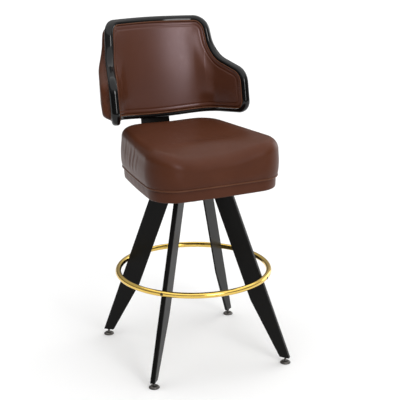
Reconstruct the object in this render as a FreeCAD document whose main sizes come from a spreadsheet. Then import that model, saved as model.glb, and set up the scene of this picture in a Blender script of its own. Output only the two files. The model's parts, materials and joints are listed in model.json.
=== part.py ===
import FreeCAD, Part
import math
import os
import Sketcher

# Swivel bar stool: four folded steel legs under a swivel, a brass foot ring,
# a thick upholstered seat and a wrap-around back with a bumper edge.
# Millimetres. +Z is up, the sitter faces -Y, and the floor is z = 0.
# The swivel axis stands at (0, axis_y), so that the origin lies on the floor
# under the middle of the whole stool.

SIZES = {
    # whole stool
    "axis_y": -29.61,           # swivel axis, in front of the middle of the box
    "rest_turn": 4.5,           # degrees by which the seat stands turned on its base
    "seam_height": 641.7,       # top of the board, where cushion and band meet
    # levelling glides
    "foot_radius": 331.4,       # axis of the swivel to the stem of a glide
    "glide_radius": 17.6,
    "glide_rim": 2.4,
    "glide_height": 8.6,
    "glide_neck": 6.0,
    "dome_run_share": 0.67,     # where the dome's shoulder lies between neck and rim
    "dome_rise_share": 0.45,    # and how high up the dome it lies
    "sole_radius": 15.0,
    "sole_lift": 0.8,           # rim of the steel cup above the floor
    "sole_thick": 2.6,
    "stem_radius": 3.95,
    "stem_length": 25.4,
    "stem_chamfer": 1.0,
    "thread_clearance": 0.05,
    # legs
    "leg_foot_height": 20.1,
    "leg_foot_past": 15.5,      # outer edge of the foot beyond the axis of its glide
    "leg_foot_short": 19.7,     # and its inner edge on the other side
    "leg_kink_height": 208.5,
    "leg_kink_inner": 205.1,
    "leg_top_outer": 132.5,
    "leg_top_inner": 60.0,
    "leg_web": 17.0,
    "leg_edge": 6.0,            # inner edge of the folded sheet, above the kink
    "leg_foot_edge": 10.0,      # inner edge at the foot
    "leg_sheet": 1.9,
    "fold_share": 0.6,          # how much of the sheet is left where its inner edge is pinched
    "plug_height": 12.0,
    # foot ring
    "ring_height": 292.9,
    "ring_tube": 9.5,
    "ring_wall": 1.5,
    "ring_seat_gap": 0.15,
    "ring_screw_radius": 2.5,
    "ring_screw_reach": 24.0,
    "ring_head_radius": 4.8,
    "ring_head_height": 2.8,
    "ring_spotface": 1.5,
    "screw_clearance": 0.25,
    # base plate
    "plate_side": 210.0,
    "plate_corner": 16.0,
    "plate_thick": 6.0,
    # swivel
    "swivel_height": 25.0,
    "lower_reach": 99.0,        # half diagonal of the lower swivel plate
    "lower_corner": 14.0,
    "upper_side": 150.0,
    "upper_corner": 10.0,
    "race_plate": 3.0,
    "race_inner": 40.0,
    "race_outer": 60.0,
    "race_gap": 4.0,
    "ball_circle": 50.0,
    "ball_radius": 4.76,
    "ball_clearance": 0.08,
    "ball_count": 18,
    "retainer_thick": 2.4,
    "retainer_margin": 1.5,
    "pivot_radius": 6.35,
    "pivot_clearance": 0.05,
    "pivot_head_radius": 10.0,
    "pivot_head_height": 8.0,
    "pivot_nut_height": 9.0,
    "pivot_tail": 1.6,
    "bush_wall": 2.6,
    "bush_drop": 8.0,
    "bush_flange": 14.0,
    "bush_flange_thick": 1.2,
    "washer_gap": 0.3,
    "washer_radius": 13.0,
    "washer_thick": 2.0,
    # bolts of the swivel and of the seat
    "plate_bolt_circle": 80.0,
    "plate_bolt_radius": 4.0,
    "seat_bolt_offset": 60.0,
    "seat_bolt_radius": 3.0,
    "bolt_play": 0.3,
    "head_share": 1.85,         # corner radius of a hexagon over the bolt's radius
    "head_height_share": 1.25,
    "nut_height_share": 1.625,
    "tee_barrel": 4.6,
    "tee_length": 12.6,
    "tee_recess": 3.6,          # end of a seat bolt below the top of the board
    "back_tee_length": 10.8,
    "tee_flange": 9.0,
    "tee_thick": 1.2,
    # seat
    "seat_front_half": 230.0,
    "seat_rear_half": 171.5,
    "seat_front": 219.6,
    "seat_rear": 208.6,
    "seat_front_corner": 86.2,
    "seat_rear_corner": 90.7,
    "seat_front_bow": 6.6,      # how far the front edge bows out between its corners
    "seat_side_bow": 6.9,
    "seat_rear_bow": 4.0,
    "board_thick": 18.0,
    "board_bore": 22.0,
    "band_drop": 42.4,
    "band_thick": 5.0,
    "frame_width": 16.0,
    "cover_thick": 1.5,
    "dust_thick": 0.8,
    "dust_inset": 3.0,
    "dust_hole": 152.0,
    "cushion_undercut": 5.0,
    "cushion_bulge": 11.0,
    "cushion_bulge_height": 66.0,
    "cushion_crown": 53.0,
    "cushion_reach": 112.0,
    "cushion_tilt": 2.2,        # degrees by which the crown falls to the front
    "corner_share": 0.6,        # how fast the plan's corners tighten towards the crown
    "waist_rise_share": 0.4,    # the side's second section, as a share of the bulge's height
    "waist_grow_share": 0.667,  # and of the way out from the seam to the bulge
    "crown_fullness": 0.5,      # power of the crown's round: 1 is an ellipse, less is squarer
    "soft_gap": 0.3,
    "seat_welt": 3.0,
    # back, along its middle surface: run is the way round it from the centre
    "back_rear": 255.5,         # middle surface at the height of the wings' bottom corners
    "back_above_seam": 167.6,   # those corners above the seat's seam
    "back_lean": 10.0,
    "back_centre_radius": 479.8,
    "back_centre_angle": 16.4,
    "back_corner_radius": 98.0,
    "back_corner_angle": 53.4,
    "wing_rise": 119.3,         # wing's top corner above its bottom corner
    "dip_rise": 47.1,           # foot of the tall middle part above the wing's top corner
    "top_rise": 122.7,          # top above the foot of the tall middle part
    "back_top_drop": 1.4,
    "back_top_run": 185.6,
    "dip_run_step": 20.1,       # how much further round the foot of the tall part lies
    "wing_run_step": 138.2,     # and how much further again the wing ends
    "back_bow": 26.1,           # how much lower the bottom edge is at the centre
    "top_round": 56.0,
    "dip_round": 112.0,
    "wing_top_round": 39.0,
    "wing_low_round": 33.0,
    "shell_half": 6.0,
    "pad_edge": 12.4,
    "inner_crown": 20.0,
    "outer_crown": 40.0,
    "edge_gap": 0.5,
    "pad_inset": 1.2,
    "trim_half": 14.6,
    "trim_depth": 14.1,
    "trim_fullness": 1.12,      # how square the bumper's D is: 1 is a half ellipse
    "welt_radius": 2.0,
    # bracket between seat and back
    "bracket_half": 54.0,
    "bracket_thick": 6.0,
    "bracket_start": 92.0,
    "bracket_rise": 152.7,      # top of the bracket above the wings' bottom corners
    "bracket_bend": 9.0,
    "bracket_slot": 0.5,
    "bracket_bolt_x": 32.0,
    "bracket_bolt_near": 122.0,
    "bracket_bolt_far": 170.0,
    "back_bolt_rise": 52.7,
    "back_bolt_pitch": 68.0,
}

DEGREE = " * 1 deg"


class Size:
    """A driving size, or an expression of them, with its value and its text."""

    def __init__(self, value, text):
        self.value = value
        self.text = text

    def __add__(self, other):
        return join(self, other, "+", self.value + plain(other))

    def __radd__(self, other):
        return join(other, self, "+", plain(other) + self.value)

    def __sub__(self, other):
        return join(self, other, "-", self.value - plain(other))

    def __rsub__(self, other):
        return join(other, self, "-", plain(other) - self.value)

    def __mul__(self, other):
        return join(self, other, "*", self.value * plain(other))

    def __rmul__(self, other):
        return join(other, self, "*", plain(other) * self.value)

    def __truediv__(self, other):
        return join(self, other, "/", self.value / plain(other))

    def __neg__(self):
        return Size(-self.value, f"(-1 * {self.text})")


def plain(item):
    return item.value if isinstance(item, Size) else float(item)


def words(item):
    return item.text if isinstance(item, Size) else f"({float(item):.9f})"


def join(left, right, sign, value):
    return Size(value, f"({words(left)} {sign} {words(right)})")


def root(item):
    return Size(math.sqrt(item.value), f"sqrt({item.text})")


def cosine(item):
    return Size(math.cos(math.radians(item.value)), f"cos({item.text}{DEGREE})")


def sine(item):
    return Size(math.sin(math.radians(item.value)), f"sin({item.text}{DEGREE})")


def dim(name):
    return Size(float(SIZES[name]), f"dims.{name}")


doc = FreeCAD.newDocument("bar_stool")
sheet = doc.addObject("Spreadsheet::Sheet", "dims")
for row, (size_name, size_value) in enumerate(SIZES.items(), start=1):
    sheet.set(f"A{row}", str(size_value))
    sheet.setAlias(f"A{row}", size_name)
doc.recompute()

NODES = []


def bind(thing, name, item):
    thing.setExpression(name, words(item))


def place(thing, x=0.0, y=0.0, z=0.0):
    for axis, item in zip("xyz", (x, y, z)):
        bind(thing, f"Placement.Base.{axis}", item)
    return thing


def turn(thing, axis, angle):
    """Point a primitive's own Z another way; its place is bound afterwards."""
    thing.Placement = FreeCAD.Placement(FreeCAD.Vector(), FreeCAD.Rotation(axis, plain(angle)))
    bind(thing, "Placement.Rotation.Angle", angle)
    return thing


def node(thing, label, angle=0.0):
    """Stand a finished piece on the swivel axis, turned about it, under its own name."""
    thing.Label = label
    thing.Placement = FreeCAD.Placement(
        FreeCAD.Vector(0, plain(dim("axis_y")), 0),
        FreeCAD.Rotation(FreeCAD.Vector(0, 0, 1), plain(angle)),
    )
    bind(thing, "Placement.Base.y", dim("axis_y"))
    bind(thing, "Placement.Rotation.Angle", angle)
    NODES.append(thing)
    return thing


def cylinder(name, radius, height, x=0.0, y=0.0, z=0.0):
    solid = doc.addObject("Part::Cylinder", name)
    bind(solid, "Radius", radius)
    bind(solid, "Height", height)
    return place(solid, x, y, z)


def hexagon(name, corner, height, x=0.0, y=0.0, z=0.0):
    solid = doc.addObject("Part::Prism", name)
    solid.Polygon = 6
    bind(solid, "Circumradius", corner)
    bind(solid, "Height", height)
    return place(solid, x, y, z)


def fuse(name, pieces):
    solid = doc.addObject("Part::MultiFuse", name)
    solid.Shapes = pieces
    return solid


def cut(name, base, tools):
    solid = doc.addObject("Part::Cut", name)
    solid.Base = base
    solid.Tool = tools[0] if len(tools) == 1 else fuse(name + "_tools", tools)
    return solid


def group(name, pieces):
    solids = doc.addObject("Part::Compound", name)
    solids.Links = pieces
    return solids


def tube(name, outer, inner, height, z):
    """A plain ring, from its outer and inner radius."""
    rim = cylinder(name + "_rim", outer, height, z=z)
    bore = cylinder(name + "_bore", inner, height, z=z)
    return cut(name, rim, [bore])


def plane_of(body, role):
    for feature in body.Origin.OriginFeatures:
        if feature.Role == role:
            return feature
    return None


def new_sketch(body, name, role, lift):
    sketch = body.newObject("Sketcher::SketchObject", name)
    sketch.AttachmentSupport = [(plane_of(body, role), "")]
    sketch.MapMode = "FlatFace"
    bind(sketch, "AttachmentOffset.Base.z", lift)
    return sketch


def polygon(body, name, role, points, lift=0.0):
    """A closed outline whose corners are each tied to the sketch's origin."""
    sketch = new_sketch(body, name, role, lift)
    corners = [FreeCAD.Vector(plain(x), plain(y), 0) for x, y in points]
    count = len(corners)
    for i in range(count):
        sketch.addGeometry(Part.LineSegment(corners[i], corners[(i + 1) % count]), False)
    for i in range(count):
        sketch.addConstraint(Sketcher.Constraint("Coincident", i, 2, (i + 1) % count, 1))
    for i, pair in enumerate(points):
        for kind, axis, item in (("DistanceX", -2, pair[0]), ("DistanceY", -1, pair[1])):
            if plain(item) == 0.0:
                sketch.addConstraint(Sketcher.Constraint("PointOnObject", i, 1, axis))
                continue
            number = sketch.addConstraint(Sketcher.Constraint(kind, -1, 1, i, 1, plain(item)))
            sketch.renameConstraint(number, f"{kind}{i}")
            bind(sketch, f"Constraints.{kind}{i}", item)
    return sketch


def circle(body, name, role, radius, x=0.0, y=0.0, lift=0.0):
    sketch = new_sketch(body, name, role, lift)
    centre = FreeCAD.Vector(plain(x), plain(y), 0)
    sketch.addGeometry(Part.Circle(centre, FreeCAD.Vector(0, 0, 1), plain(radius)), False)
    for kind, axis, item in (("DistanceX", -2, x), ("DistanceY", -1, y)):
        if plain(item) == 0.0:
            sketch.addConstraint(Sketcher.Constraint("PointOnObject", 0, 3, axis))
            continue
        number = sketch.addConstraint(Sketcher.Constraint(kind, -1, 1, 0, 3, plain(item)))
        sketch.renameConstraint(number, kind)
        bind(sketch, f"Constraints.{kind}", item)
    number = sketch.addConstraint(Sketcher.Constraint("Radius", 0, plain(radius)))
    sketch.renameConstraint(number, "radius")
    bind(sketch, "Constraints.radius", radius)
    return sketch


def pad(body, name, sketch, length, middle=False):
    solid = body.newObject("PartDesign::Pad", name)
    solid.Profile = sketch
    solid.Midplane = middle
    bind(solid, "Length", length)
    return solid


def pocket(body, name, sketch, length):
    """A pocket that cuts towards the sketch's positive normal."""
    solid = body.newObject("PartDesign::Pocket", name)
    solid.Profile = sketch
    solid.Reversed = True
    bind(solid, "Length", length)
    return solid


def loft(body, kind, name, sketches):
    solid = body.newObject(f"PartDesign::{kind}Loft", name)
    solid.Profile = sketches[0]
    solid.Sections = sketches[1:]
    solid.Ruled = True
    return solid


def revolve(body, name, sketch):
    """Turn a half profile, drawn on the XZ plane, about Z."""
    solid = body.newObject("PartDesign::Revolution", name)
    solid.Profile = sketch
    solid.ReferenceAxis = (sketch, ["V_Axis"])
    solid.Angle = 360
    return solid


def chamfered_square(half, corner, turned=False):
    """Corners of a square plate with its points cut off; turned stands it on a point."""
    flat = half - corner
    points = [(half, -flat), (half, flat), (flat, half), (-flat, half)]
    points += [(-half, flat), (-half, -flat), (-flat, -half), (flat, -half)]
    if not turned:
        return points
    share = math.sqrt(0.5)
    return [((x - y) * share, (x + y) * share) for x, y in points]


CORNERS = {"rear_right": 45.0, "rear_left": 135.0, "front_left": 225.0, "front_right": 315.0}
REST = -dim("rest_turn")

# Heights of the stack under the seat, from the seam down
BOARD_LOW = dim("seam_height") - dim("board_thick")
PLATE_TOP = BOARD_LOW - dim("swivel_height")
LEG_TOP = PLATE_TOP - dim("plate_thick")
RACE_MID = PLATE_TOP + dim("swivel_height") / 2

# The foot of a leg stands over its glide
FOOT_OUTER = dim("foot_radius") + dim("leg_foot_past")
FOOT_INNER = dim("foot_radius") - dim("leg_foot_short")

# Heights and runs of the back's outline, from the bottom corners of its wings
BACK_LOW = dim("seam_height") + dim("back_above_seam")
WING_TOP = BACK_LOW + dim("wing_rise")
BACK_DIP = WING_TOP + dim("dip_rise")
BACK_TOP = BACK_DIP + dim("top_rise")
DIP_RUN = dim("back_top_run") + dim("dip_run_step")
WING_RUN = DIP_RUN + dim("wing_run_step")


# Levelling glide: a nylon sole in a domed steel cup on a threaded stem
def glide(corner, angle):
    spot_x = dim("foot_radius") * math.cos(math.radians(angle))
    spot_y = dim("foot_radius") * math.sin(math.radians(angle))
    sole = cylinder(f"sole_{corner}", dim("sole_radius"), dim("sole_thick"), spot_x, spot_y)
    node(group(f"sole_group_{corner}", [sole]), f"glide_sole_{corner}", REST)

    cup = doc.addObject("PartDesign::Body", f"cup_{corner}")
    inner = dim("sole_radius") + dim("thread_clearance")
    outer = dim("glide_radius")
    top = dim("glide_height")
    shoulder = dim("sole_thick") + (top - dim("sole_thick")) * dim("dome_rise_share")
    shoulder_radius = dim("glide_neck") + (outer - dim("glide_neck")) * dim("dome_run_share")
    profile = [
        (0.0, dim("sole_thick")),
        (inner, dim("sole_thick")),
        (inner, dim("sole_lift")),
        (outer, dim("sole_lift")),
        (outer, dim("sole_lift") + dim("glide_rim")),
        (shoulder_radius, shoulder),
        (dim("glide_neck"), top),
        (0.0, top),
    ]
    revolve(cup, f"cup_turned_{corner}", polygon(cup, f"cup_profile_{corner}", "XZ_Plane", profile))
    place(cup, spot_x, spot_y)
    node(group(f"cup_group_{corner}", [cup]), f"glide_cup_{corner}", REST)

    stem = doc.addObject("PartDesign::Body", f"stem_{corner}")
    tip = top + dim("stem_length")
    narrow = dim("stem_radius") - dim("stem_chamfer")
    profile = [
        (0.0, top),
        (dim("stem_radius"), top),
        (dim("stem_radius"), tip - dim("stem_chamfer")),
        (narrow, tip),
        (0.0, tip),
    ]
    revolve(stem, f"stem_turned_{corner}", polygon(stem, f"stem_profile_{corner}", "XZ_Plane", profile))
    place(stem, spot_x, spot_y)
    node(group(f"stem_group_{corner}", [stem]), f"glide_stem_{corner}", REST)


# Leg: sheet steel folded to a closed tapering blade, drawn in the XZ plane along +X
def leg_section(body, name, height, inner, outer, edge, wall):
    """A horizontal cut of the blade, or of its hollow when wall is not zero."""
    half_web = dim("leg_web") / 2 - wall
    half_edge = edge / 2 - wall * dim("fold_share")
    points = [
        (inner + wall, -half_edge),
        (outer - wall, -half_web),
        (outer - wall, half_web),
        (inner + wall, half_edge),
    ]
    return polygon(body, name, "XY_Plane", points, height)


def outer_at(height):
    """The outer edge is straight from the foot to the top."""
    run = (FOOT_OUTER - dim("leg_top_outer")) / (LEG_TOP - dim("leg_foot_height"))
    return FOOT_OUTER - (height - dim("leg_foot_height")) * run


def foot_inner_at(height):
    rise = dim("leg_kink_height") - dim("leg_foot_height")
    run = (FOOT_INNER - dim("leg_kink_inner")) / rise
    return FOOT_INNER - (height - dim("leg_foot_height")) * run


def foot_edge_at(height):
    rise = dim("leg_kink_height") - dim("leg_foot_height")
    run = (dim("leg_foot_edge") - dim("leg_edge")) / rise
    return dim("leg_foot_edge") - (height - dim("leg_foot_height")) * run


def leg(corner, angle):
    body = doc.addObject("PartDesign::Body", f"leg_{corner}")
    foot = dim("leg_foot_height")
    kink = dim("leg_kink_height")
    cuts = (
        (foot, FOOT_INNER, FOOT_OUTER, dim("leg_foot_edge")),
        (kink, dim("leg_kink_inner"), outer_at(kink), dim("leg_edge")),
        (LEG_TOP, dim("leg_top_inner"), dim("leg_top_outer"), dim("leg_edge")),
    )
    for kind, wall in (("Additive", 0.0), ("Subtractive", dim("leg_sheet"))):
        sections = []
        for i, (height, inner, outer, edge) in enumerate(cuts):
            name = f"{kind}_{i}_{corner}"
            sections.append(leg_section(body, name, height, inner, outer, edge, wall))
        loft(body, kind, f"{kind}_blade_{corner}", sections)
    hole = circle(
        body,
        f"ring_hole_{corner}",
        "YZ_Plane",
        dim("ring_screw_radius") + dim("thread_clearance"),
        y=dim("ring_height"),
        lift=outer_at(dim("ring_height")) - dim("ring_screw_reach"),
    )
    pocket(body, f"ring_tapping_{corner}", hole, dim("ring_screw_reach") * 2)
    node(body, f"leg_{corner}", REST + angle)


def foot_plug(corner, angle):
    """Weld plug that closes the foot and takes the glide's thread."""
    body = doc.addObject("PartDesign::Body", f"plug_{corner}")
    sections = []
    for i, height in enumerate((dim("leg_foot_height"), dim("leg_foot_height") + dim("plug_height"))):
        name = f"plug_{i}_{corner}"
        edge = foot_edge_at(height)
        sections.append(
            leg_section(body, name, height, foot_inner_at(height), outer_at(height), edge, dim("leg_sheet"))
        )
    loft(body, "Additive", f"plug_block_{corner}", sections)
    bore = circle(
        body,
        f"plug_bore_{corner}",
        "XY_Plane",
        dim("stem_radius") + dim("thread_clearance"),
        x=dim("foot_radius"),
    )
    pocket(body, f"plug_thread_{corner}", bore, dim("leg_foot_height") + dim("plug_height") * 2)
    turn(body, FreeCAD.Vector(0, 0, 1), angle)
    return body


plugs = []
for corner_name, corner_angle in CORNERS.items():
    glide(corner_name, corner_angle)
    leg(corner_name, corner_angle)
    plugs.append(foot_plug(corner_name, corner_angle))
node(group("plug_group", plugs), "foot_plugs", REST)

# Foot ring: brass tube outside the legs, held to each by a screw through the tube
LEG_RUN = (FOOT_OUTER - dim("leg_top_outer")) / (LEG_TOP - dim("leg_foot_height"))
RING_STAND = (dim("ring_tube") + dim("ring_seat_gap")) * root(LEG_RUN * LEG_RUN + 1)
RING_RADIUS = outer_at(dim("ring_height")) + RING_STAND


def torus(name, major, minor, z):
    solid = doc.addObject("Part::Torus", name)
    bind(solid, "Radius1", major)
    bind(solid, "Radius2", minor)
    return place(solid, z=z)


def radial_cylinder(name, radius, start, length, angle):
    """A cylinder that points away from the swivel axis at the ring's height."""
    solid = doc.addObject("Part::Cylinder", name)
    bind(solid, "Radius", radius)
    bind(solid, "Height", length)
    bearing = math.radians(angle)
    turn_out = FreeCAD.Rotation(FreeCAD.Vector(0, 0, 1), angle)
    lie_down = FreeCAD.Rotation(FreeCAD.Vector(0, 1, 0), 90)
    solid.Placement = FreeCAD.Placement(FreeCAD.Vector(), turn_out.multiply(lie_down))
    return place(solid, start * math.cos(bearing), start * math.sin(bearing), dim("ring_height"))


def foot_ring():
    face = RING_RADIUS + dim("ring_tube") - dim("ring_spotface")
    inner_tube = dim("ring_tube") - dim("ring_wall")
    tools = [torus("ring_hollow", RING_RADIUS, inner_tube, dim("ring_height"))]
    screws = []
    for corner, angle in CORNERS.items():
        hole = dim("ring_screw_radius") + dim("screw_clearance")
        start = RING_RADIUS - dim("ring_tube") * 2
        tools.append(radial_cylinder(f"ring_hole_cut_{corner}", hole, start, dim("ring_tube") * 4, angle))
        seat = dim("ring_head_radius") + dim("screw_clearance")
        tools.append(radial_cylinder(f"ring_seat_cut_{corner}", seat, face, dim("ring_tube"), angle))
        tip = outer_at(dim("ring_height")) - dim("ring_screw_reach") / 2
        radius = dim("ring_screw_radius")
        shank = radial_cylinder(f"ring_shank_{corner}", radius, tip, face - tip, angle)
        head = radial_cylinder(
            f"ring_head_{corner}", dim("ring_head_radius"), face, dim("ring_head_height"), angle
        )
        screws.append(fuse(f"ring_screw_{corner}", [shank, head]))
    solid = torus("ring_solid", RING_RADIUS, dim("ring_tube"), dim("ring_height"))
    node(cut("ring_tube_cut", solid, tools), "foot_ring", REST)
    node(group("ring_screw_group", screws), "ring_screws", REST)


foot_ring()


# Base plate: welded across the tops of the legs
def base_plate():
    body = doc.addObject("PartDesign::Body", "plate_body")
    outline = chamfered_square(dim("plate_side") / 2, dim("plate_corner"))
    pad(body, "plate_pad", polygon(body, "plate_outline", "XY_Plane", outline, LEG_TOP), dim("plate_thick"))
    bore = circle(body, "plate_bore", "XY_Plane", dim("pivot_radius") + dim("bolt_play"), lift=LEG_TOP)
    pocket(body, "plate_centre", bore, dim("plate_thick"))
    hole = circle(
        body,
        "plate_bolt_hole",
        "XY_Plane",
        dim("plate_bolt_radius") + dim("bolt_play"),
        x=dim("plate_bolt_circle"),
        lift=LEG_TOP,
    )
    drilled = pocket(body, "plate_bolt_drill", hole, dim("plate_thick"))
    polar(body, "plate_bolt_pattern", drilled, 4)
    node(body, "base_plate", REST)


def polar(body, name, feature, count):
    """Repeat a feature round Z."""
    pattern = body.newObject("PartDesign::PolarPattern", name)
    pattern.Originals = [feature]
    pattern.Axis = (plane_of(body, "Z_Axis"), [""])
    pattern.Angle = 360
    bind(pattern, "Occurrences", count)
    body.Tip = pattern
    return pattern


def bolt_spots():
    return [(dim("plate_bolt_circle") * x, dim("plate_bolt_circle") * y) for x, y in QUARTERS]


QUARTERS = ((1, 0), (0, 1), (-1, 0), (0, -1))
DIAGONALS = ((1, 1), (-1, 1), (-1, -1), (1, -1))

base_plate()


# Swivel: two pressed plates with ball races, a ball cage and a pivot bolt
def race(name, z, height):
    return tube(name, dim("race_outer"), dim("race_inner"), height, z)


def swivel_lower():
    low = PLATE_TOP
    body = doc.addObject("PartDesign::Body", "lower_body")
    half = dim("lower_reach") * math.sqrt(0.5) + dim("lower_corner") / 2
    outline = chamfered_square(half, dim("lower_corner"), turned=True)
    pad(body, "lower_pad", polygon(body, "lower_outline", "XY_Plane", outline, low), dim("race_plate"))
    top = RACE_MID - dim("race_gap") / 2
    ring = race("lower_race", low + dim("race_plate"), top - low - dim("race_plate"))
    blank = fuse("lower_blank", [body, ring])
    groove = torus("lower_groove", dim("ball_circle"), dim("ball_radius") + dim("ball_clearance"), RACE_MID)
    bore = dim("pivot_radius") + dim("bolt_play")
    tools = [groove, cylinder("lower_bore", bore, dim("race_plate"), z=low)]
    hole = dim("plate_bolt_radius") + dim("bolt_play")
    for i, (x, y) in enumerate(bolt_spots()):
        tools.append(cylinder(f"lower_hole_{i}", hole, dim("race_plate"), x, y, low))
    node(cut("lower_cut", blank, tools), "swivel_lower_plate", REST)


def seat_bolt_spots():
    return [(dim("seat_bolt_offset") * x, dim("seat_bolt_offset") * y) for x, y in DIAGONALS]


def swivel_upper():
    low = BOARD_LOW - dim("race_plate")
    body = doc.addObject("PartDesign::Body", "upper_body")
    outline = chamfered_square(dim("upper_side") / 2, dim("upper_corner"))
    pad(body, "upper_pad", polygon(body, "upper_outline", "XY_Plane", outline, low), dim("race_plate"))
    start = RACE_MID + dim("race_gap") / 2
    ring = race("upper_race", start, low - start)
    blank = fuse("upper_blank", [body, ring])
    groove = torus("upper_groove", dim("ball_circle"), dim("ball_radius") + dim("ball_clearance"), RACE_MID)
    bush = dim("pivot_radius") + dim("pivot_clearance") + dim("bush_wall")
    tools = [groove, cylinder("upper_bore", bush, dim("race_plate"), z=low)]
    hole = dim("seat_bolt_radius") + dim("bolt_play")
    for i, (x, y) in enumerate(seat_bolt_spots()):
        tools.append(cylinder(f"upper_hole_{i}", hole, dim("race_plate"), x, y, low))
    node(cut("upper_cut", blank, tools), "swivel_upper_plate")


def ball_cage():
    body = doc.addObject("PartDesign::Body", "cage_body")
    low = RACE_MID - dim("retainer_thick") / 2
    outer = dim("race_outer") - dim("retainer_margin")
    inner = dim("race_inner") + dim("retainer_margin")
    pad(body, "cage_pad", circle(body, "cage_rim", "XY_Plane", outer, lift=low), dim("retainer_thick"))
    pocket(body, "cage_bore", circle(body, "cage_inner", "XY_Plane", inner, lift=low), dim("retainer_thick"))
    seat = dim("ball_radius") + dim("ball_clearance")
    hole = circle(body, "cage_hole", "XY_Plane", seat, x=dim("ball_circle"), lift=low)
    drilled = pocket(body, "cage_drill", hole, dim("retainer_thick"))
    polar(body, "cage_pattern", drilled, dim("ball_count"))
    node(body, "ball_retainer", REST)
    balls = []
    count = int(plain(dim("ball_count")))
    for i in range(count):
        bearing = 2 * math.pi * i / count
        ball = doc.addObject("Part::Sphere", f"ball_{i}")
        bind(ball, "Radius", dim("ball_radius"))
        x = dim("ball_circle") * math.cos(bearing)
        y = dim("ball_circle") * math.sin(bearing)
        balls.append(place(ball, x, y, RACE_MID))
    node(group("ball_group", balls), "bearing_balls", REST)


def pivot():
    """Bolt through both plates, with a bush, washer and lock nut inside the board's bore."""
    radius = dim("pivot_radius")
    head_low = LEG_TOP - dim("pivot_head_height")
    flange_top = BOARD_LOW + dim("bush_flange_thick")
    washer_low = flange_top + dim("washer_gap")
    nut_low = washer_low + dim("washer_thick")
    nut_top = nut_low + dim("pivot_nut_height")
    head = hexagon("pivot_head", dim("pivot_head_radius"), dim("pivot_head_height"), z=head_low)
    shank = cylinder("pivot_shank", radius, nut_top + dim("pivot_tail") - LEG_TOP, z=LEG_TOP)
    node(fuse("pivot_fused", [head, shank]), "pivot_bolt", REST)

    loose = radius + dim("pivot_clearance")
    washer_solid = tube("pivot_washer_ring", dim("washer_radius"), loose, dim("washer_thick"), washer_low)
    node(washer_solid, "pivot_washer", REST)
    nut = hexagon("pivot_nut_blank", dim("pivot_head_radius"), dim("pivot_nut_height"), z=nut_low)
    thread = cylinder("pivot_nut_thread", loose, dim("pivot_nut_height"), z=nut_low)
    node(cut("pivot_nut_cut", nut, [thread]), "pivot_nut", REST)

    sleeve = cylinder("bush_sleeve", loose + dim("bush_wall"), dim("bush_drop"), z=BOARD_LOW - dim("bush_drop"))
    flange = cylinder("bush_rim", dim("bush_flange"), dim("bush_flange_thick"), z=BOARD_LOW)
    length = dim("bush_drop") + dim("bush_flange_thick")
    bore = cylinder("bush_bore", loose, length, z=BOARD_LOW - dim("bush_drop"))
    node(cut("bush_cut", fuse("bush_blank", [sleeve, flange]), [bore]), "pivot_bush")


swivel_lower()
swivel_upper()
ball_cage()
pivot()


# Bolts, nuts and tee nuts of the swivel and of the board
def hex_bolt(name, radius, length, x, y, z, upwards):
    """A hexagon bolt whose head's bearing face is at z; upwards points its shank up."""
    head_height = radius * dim("head_height_share")
    head_z = z - head_height if upwards else z
    shank_z = z if upwards else z - length
    head = hexagon(name + "_head", radius * dim("head_share"), head_height, x, y, head_z)
    shank = cylinder(name + "_shank", radius, length, x, y, shank_z)
    return fuse(name, [head, shank])


def plate_fasteners():
    radius = dim("plate_bolt_radius")
    nut_height = radius * dim("nut_height_share")
    grip = dim("race_plate") + dim("plate_thick")
    bolts = []
    nuts = []
    for i, (x, y) in enumerate(bolt_spots()):
        top = PLATE_TOP + dim("race_plate")
        bolts.append(hex_bolt(f"plate_bolt_{i}", radius, grip + nut_height, x, y, top, False))
        low = LEG_TOP - nut_height
        blank = hexagon(f"plate_nut_blank_{i}", radius * dim("head_share"), nut_height, x, y, low)
        thread = cylinder(f"plate_nut_hole_{i}", radius + dim("thread_clearance"), nut_height, x, y, low)
        nuts.append(cut(f"plate_nut_{i}", blank, [thread]))
    node(group("plate_bolt_group", bolts), "plate_bolts", REST)
    node(group("plate_nut_group", nuts), "plate_nuts", REST)


def tee_nut(name, x, y, z_low, z_top):
    """Barrel nut pressed into the board from above, its flange on the board's top."""
    barrel = cylinder(name + "_barrel", dim("tee_barrel"), z_top - z_low, x, y, z_low)
    flange = cylinder(name + "_flange", dim("tee_flange"), dim("tee_thick"), x, y, z_top - dim("tee_thick"))
    bore = cylinder(
        name + "_bore", dim("seat_bolt_radius") + dim("thread_clearance"), z_top - z_low, x, y, z_low
    )
    return cut(name, fuse(name + "_blank", [barrel, flange]), [bore])


def bracket_spots():
    spots = []
    for y in (dim("bracket_bolt_near"), dim("bracket_bolt_far")):
        spots += [(dim("bracket_bolt_x"), y), (-dim("bracket_bolt_x"), y)]
    return spots


def board_fasteners(label, spots, plate):
    """Bolts up through a plate of the given thickness into tee nuts in the board."""
    bolts = []
    nuts = []
    low = dim("seam_height") - dim("tee_length")
    for i, (x, y) in enumerate(spots):
        length = plate + dim("board_thick") - dim("tee_recess")
        bolts.append(
            hex_bolt(f"{label}_bolt_{i}", dim("seat_bolt_radius"), length, x, y, BOARD_LOW - plate, True)
        )
        nuts.append(tee_nut(f"{label}_nut_{i}", x, y, low, dim("seam_height")))
    node(group(f"{label}_bolt_group", bolts), f"{label}_bolts")
    node(group(f"{label}_nut_group", nuts), f"{label}_tee_nuts")


plate_fasteners()
board_fasteners("seat", seat_bolt_spots(), dim("race_plate"))
board_fasteners("bracket", bracket_spots(), dim("bracket_thick"))


# Seat outline: a trapezoid with bowed sides and rounded corners, wide at the front
def value(name):
    return plain(dim(name))


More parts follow.
